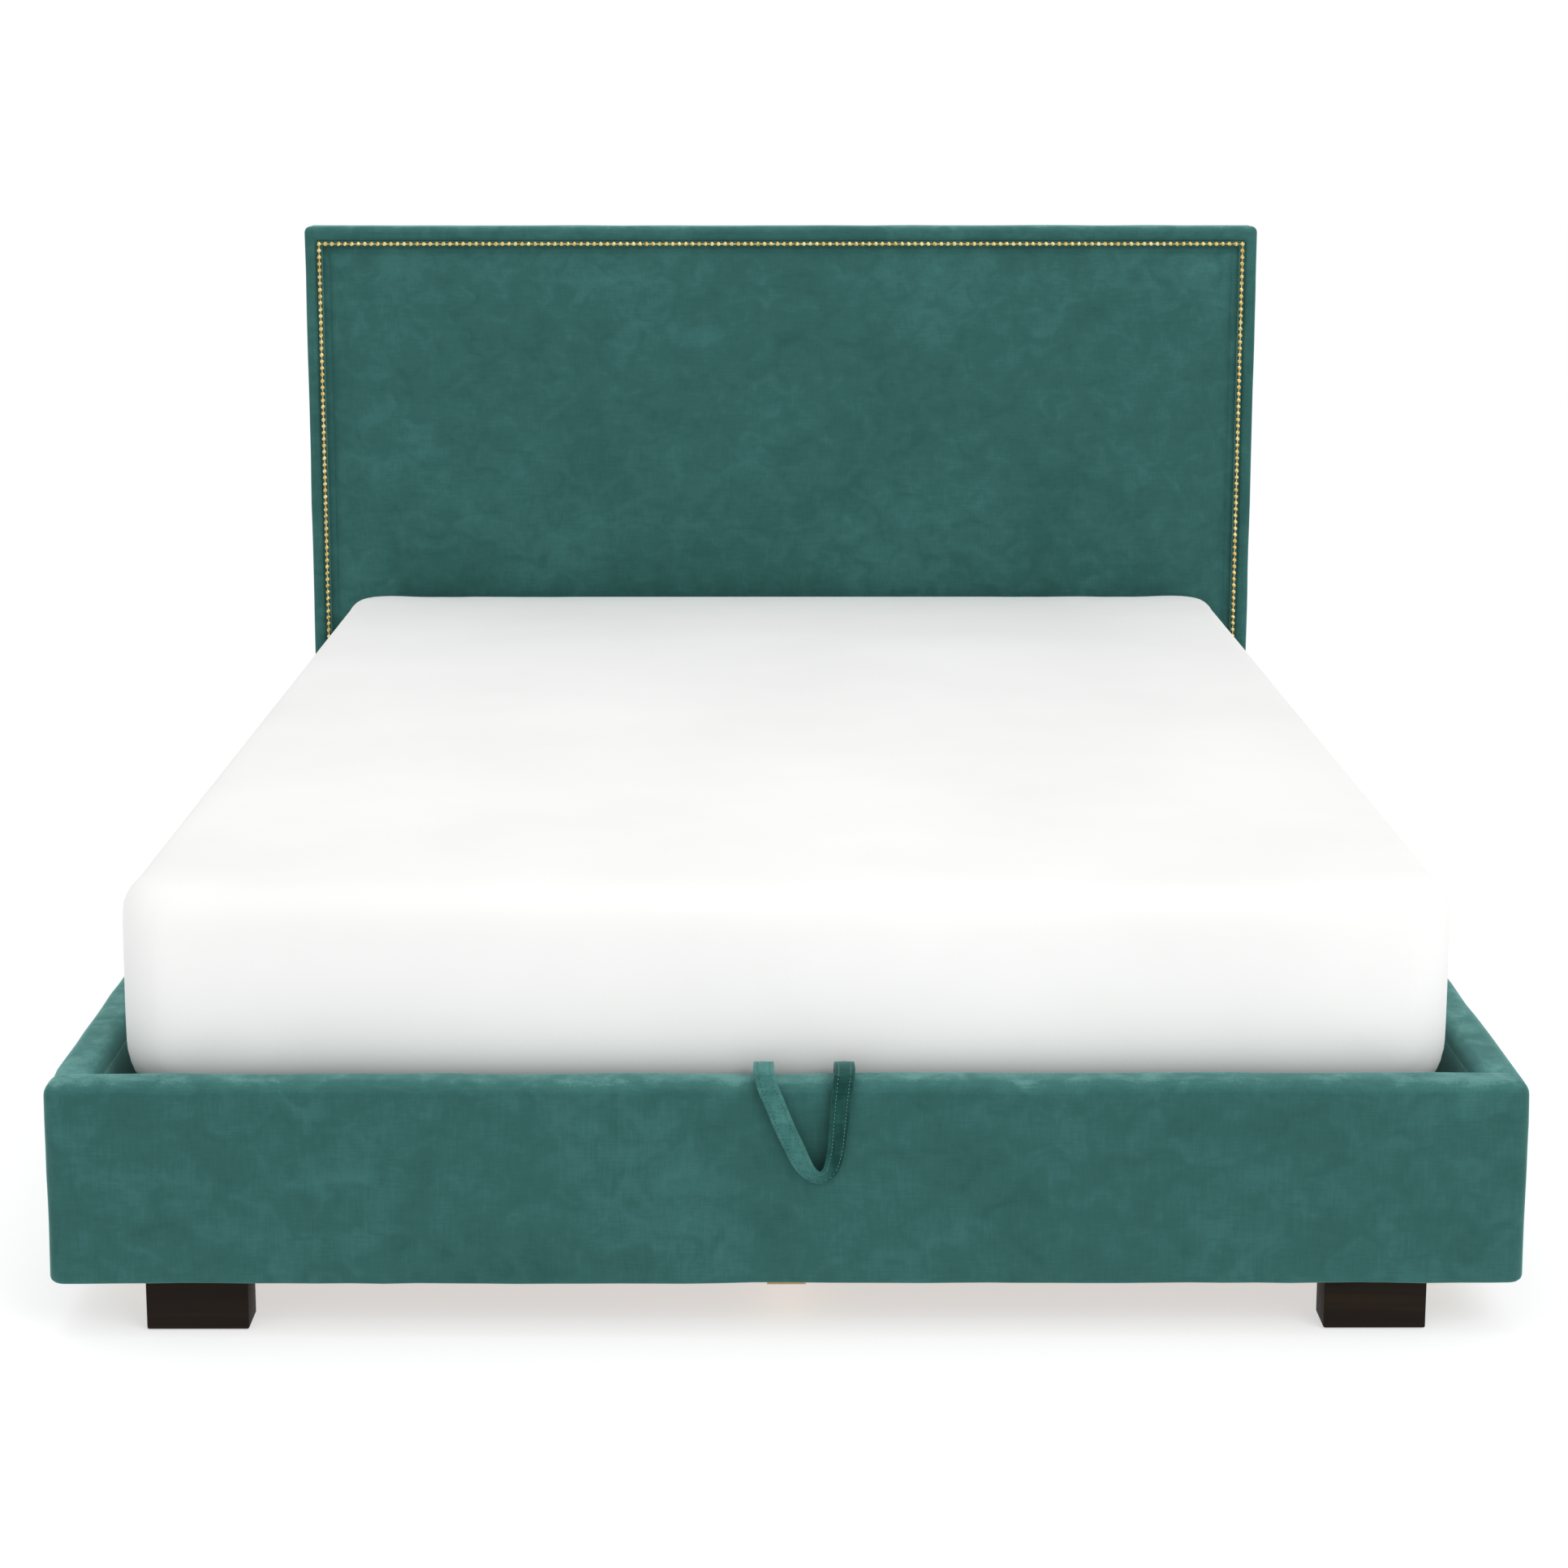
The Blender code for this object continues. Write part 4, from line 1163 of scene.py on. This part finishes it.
def pivot_rivets():
    """Flat rivet heads on the inner faces of the links, each on the body that it turns in."""
    lift, tilt = joint_place("lift"), joint_place("deck_tilt")
    front, gas = joint_place("front_link_swing"), joint_place("gas_cylinder_swing")
    inner_face = abs(high("rear_link_left").x)
    for body, name, centre, reach in (
            ("rear_links", "rear_link_rivets", lift, inner_face),
            ("front_links", "front_link_rivets", front, inner_face),
            ("gas_cylinders", "gas_spring_clips", gas, STRUT_FACE),
            ("deck", "arm_rivets", tilt, ARM_INNER)):
        bm = bmesh.new()
        for sign in (-1, 1):
            disc(bm, (sign * reach, centre.y, centre.z), (-sign, 0, 0), RIVET_R,
                 RIVET_HEAD, 20, 0.0010)
        piece(name, bm, ZINC, body)


base_bolts()
deck_bolts()
pivot_rivets()
print("fixings are in place")

# %% [markdown]
# ## Slat holders
# Each beech slat ends in a nylon shoe that clips over the side tube. The shoe is a
# rounded box round the end of the slat.

# %% Nylon shoes
SHOE_LONG = 0.034
SHOE_SIDE = 0.0022


def slat_shoes():
    bm = bmesh.new()
    slats = [n for n in frame["nodes"] if n.startswith("slat_")]
    for node in sorted(slats):
        bottom, top = low(node), high(node)
        for sign in (-1, 1):
            inner, outer = sorted((sign * (top.x - SHOE_LONG), sign * (top.x + 0.0012)))
            box_at(bm, (inner, bottom.y - SHOE_SIDE, bottom.z + 0.0002),
                   (outer, top.y + SHOE_SIDE, top.z + 0.0005), 0.001, 2)
    piece("slat_shoes", bm, NYLON, "deck")
    return 2 * len(slats)


print("slat shoes:", slat_shoes())

# %% [markdown]
# ## Finishes for the frame's own parts
# The boards, tubes, links and slats of the frame already have their right shape, so
# they only change their material. The grain runs along each board.

# %% Dress the frame
FRAME_FINISH = [
    (("headboard_core", "foot_rail_board"), PINE_WIDE),
    (("side_rail_left_board", "side_rail_right_board", "floor_ledger", "center_beam"),
     PINE_LONG),
    (("floor_panel",), HARDBOARD),
    (("headboard_post", "center_leg"), STAINED_POST),
    (("slat_",), BEECH),
    (("corner_bracket", "lift_base_plate"), ZINC),
    (("gas_rod",), CHROME),
    (("gas_cylinder", "rear_link", "front_link", "lift_arm", "deck_", "mattress_stop"),
     BLACK_STEEL),
]
dressed = 0
for starts, material in FRAME_FINISH:
    for node, obj in frame["nodes"].items():
        if node.startswith(starts):
            obj.data.materials.clear()
            obj.data.materials.append(material)
            dressed += 1
print("frame parts dressed:", dressed)

# %% [markdown]
# ## Floor and light
# A white floor and a white dome give an even studio, and a broad soft light from the
# front right and a weaker one from above model the padding. The dome is a little
# stronger where it is looked at than where it lights, and the floor glows faintly, so
# that both stay white while the bed isn't overexposed.

# %% Studio
def studio():
    bm = bmesh.new()
    bmesh.ops.create_grid(bm, x_segments=1, y_segments=1, size=30.0)
    mesh = bpy.data.meshes.new("studio_floor")
    bm.to_mesh(mesh)
    bm.free()
    mat, shader = new_material("matt_white_paint", "#C4C4C4", 0.9, Specular_IOR_Level=0.05,
                               Emission_Strength=FLOOR_GLOW)
    shader.inputs["Emission Color"].default_value = (1, 1, 1, 1)
    faint = cloudy(mat, object_space(mat), 40.0, 2.0)
    wire(mat, maths(mat, "ADD", maths(mat, "MULTIPLY", faint, 0.05), 0.88), shader,
         "Roughness")
    mesh.materials.append(mat)
    floor = bpy.data.objects.new("studio_floor", mesh)
    bpy.context.scene.collection.objects.link(floor)

    world = bpy.data.worlds.new("white_studio")
    world.use_nodes = True
    dome = world.node_tree.nodes["Background"]
    dome.inputs["Color"].default_value = (1, 1, 1, 1)
    seen = add(world, "LightPath").outputs["Is Camera Ray"]
    strength = maths(world, "ADD", maths(world, "MULTIPLY", seen, SEEN_LIGHT - WORLD_LIGHT),
                     WORLD_LIGHT)
    world.node_tree.links.new(strength, dome.inputs["Strength"])
    bpy.context.scene.world = world
    bpy.context.scene.view_settings.view_transform = "Standard"

    for name, place, aim, size, power in SOFTBOXES:
        data = bpy.data.lights.new(name, "AREA")
        data.shape = "RECTANGLE"
        data.size, data.size_y = size
        data.energy = power
        lamp = bpy.data.objects.new(name, data)
        lamp.location = place
        way = Vector(aim) - Vector(place)
        lamp.rotation_euler = way.to_track_quat("-Z", "Y").to_euler()
        bpy.context.scene.collection.objects.link(lamp)


WORLD_LIGHT = 0.78            # the dome as a light
SEEN_LIGHT = 1.02             # and as it is looked at
FLOOR_GLOW = 0.57
SOFTBOXES = [
    ("key_softbox", (2.6, -4.2, 3.6), (0, 0, 0.3), (3.0, 2.4), 72),
    ("top_softbox", (-0.6, -0.4, 4.2), (0, 0, 0.3), (3.4, 3.4), 34),
]
studio()
print("softboxes:", len(SOFTBOXES))

# %% [markdown]
# ## Finish
# The view layer is updated, so that every piece stands where it was put. The
# dressed bed may only stand a little proud of the frame.

# %% Finish
bpy.context.view_layer.update()
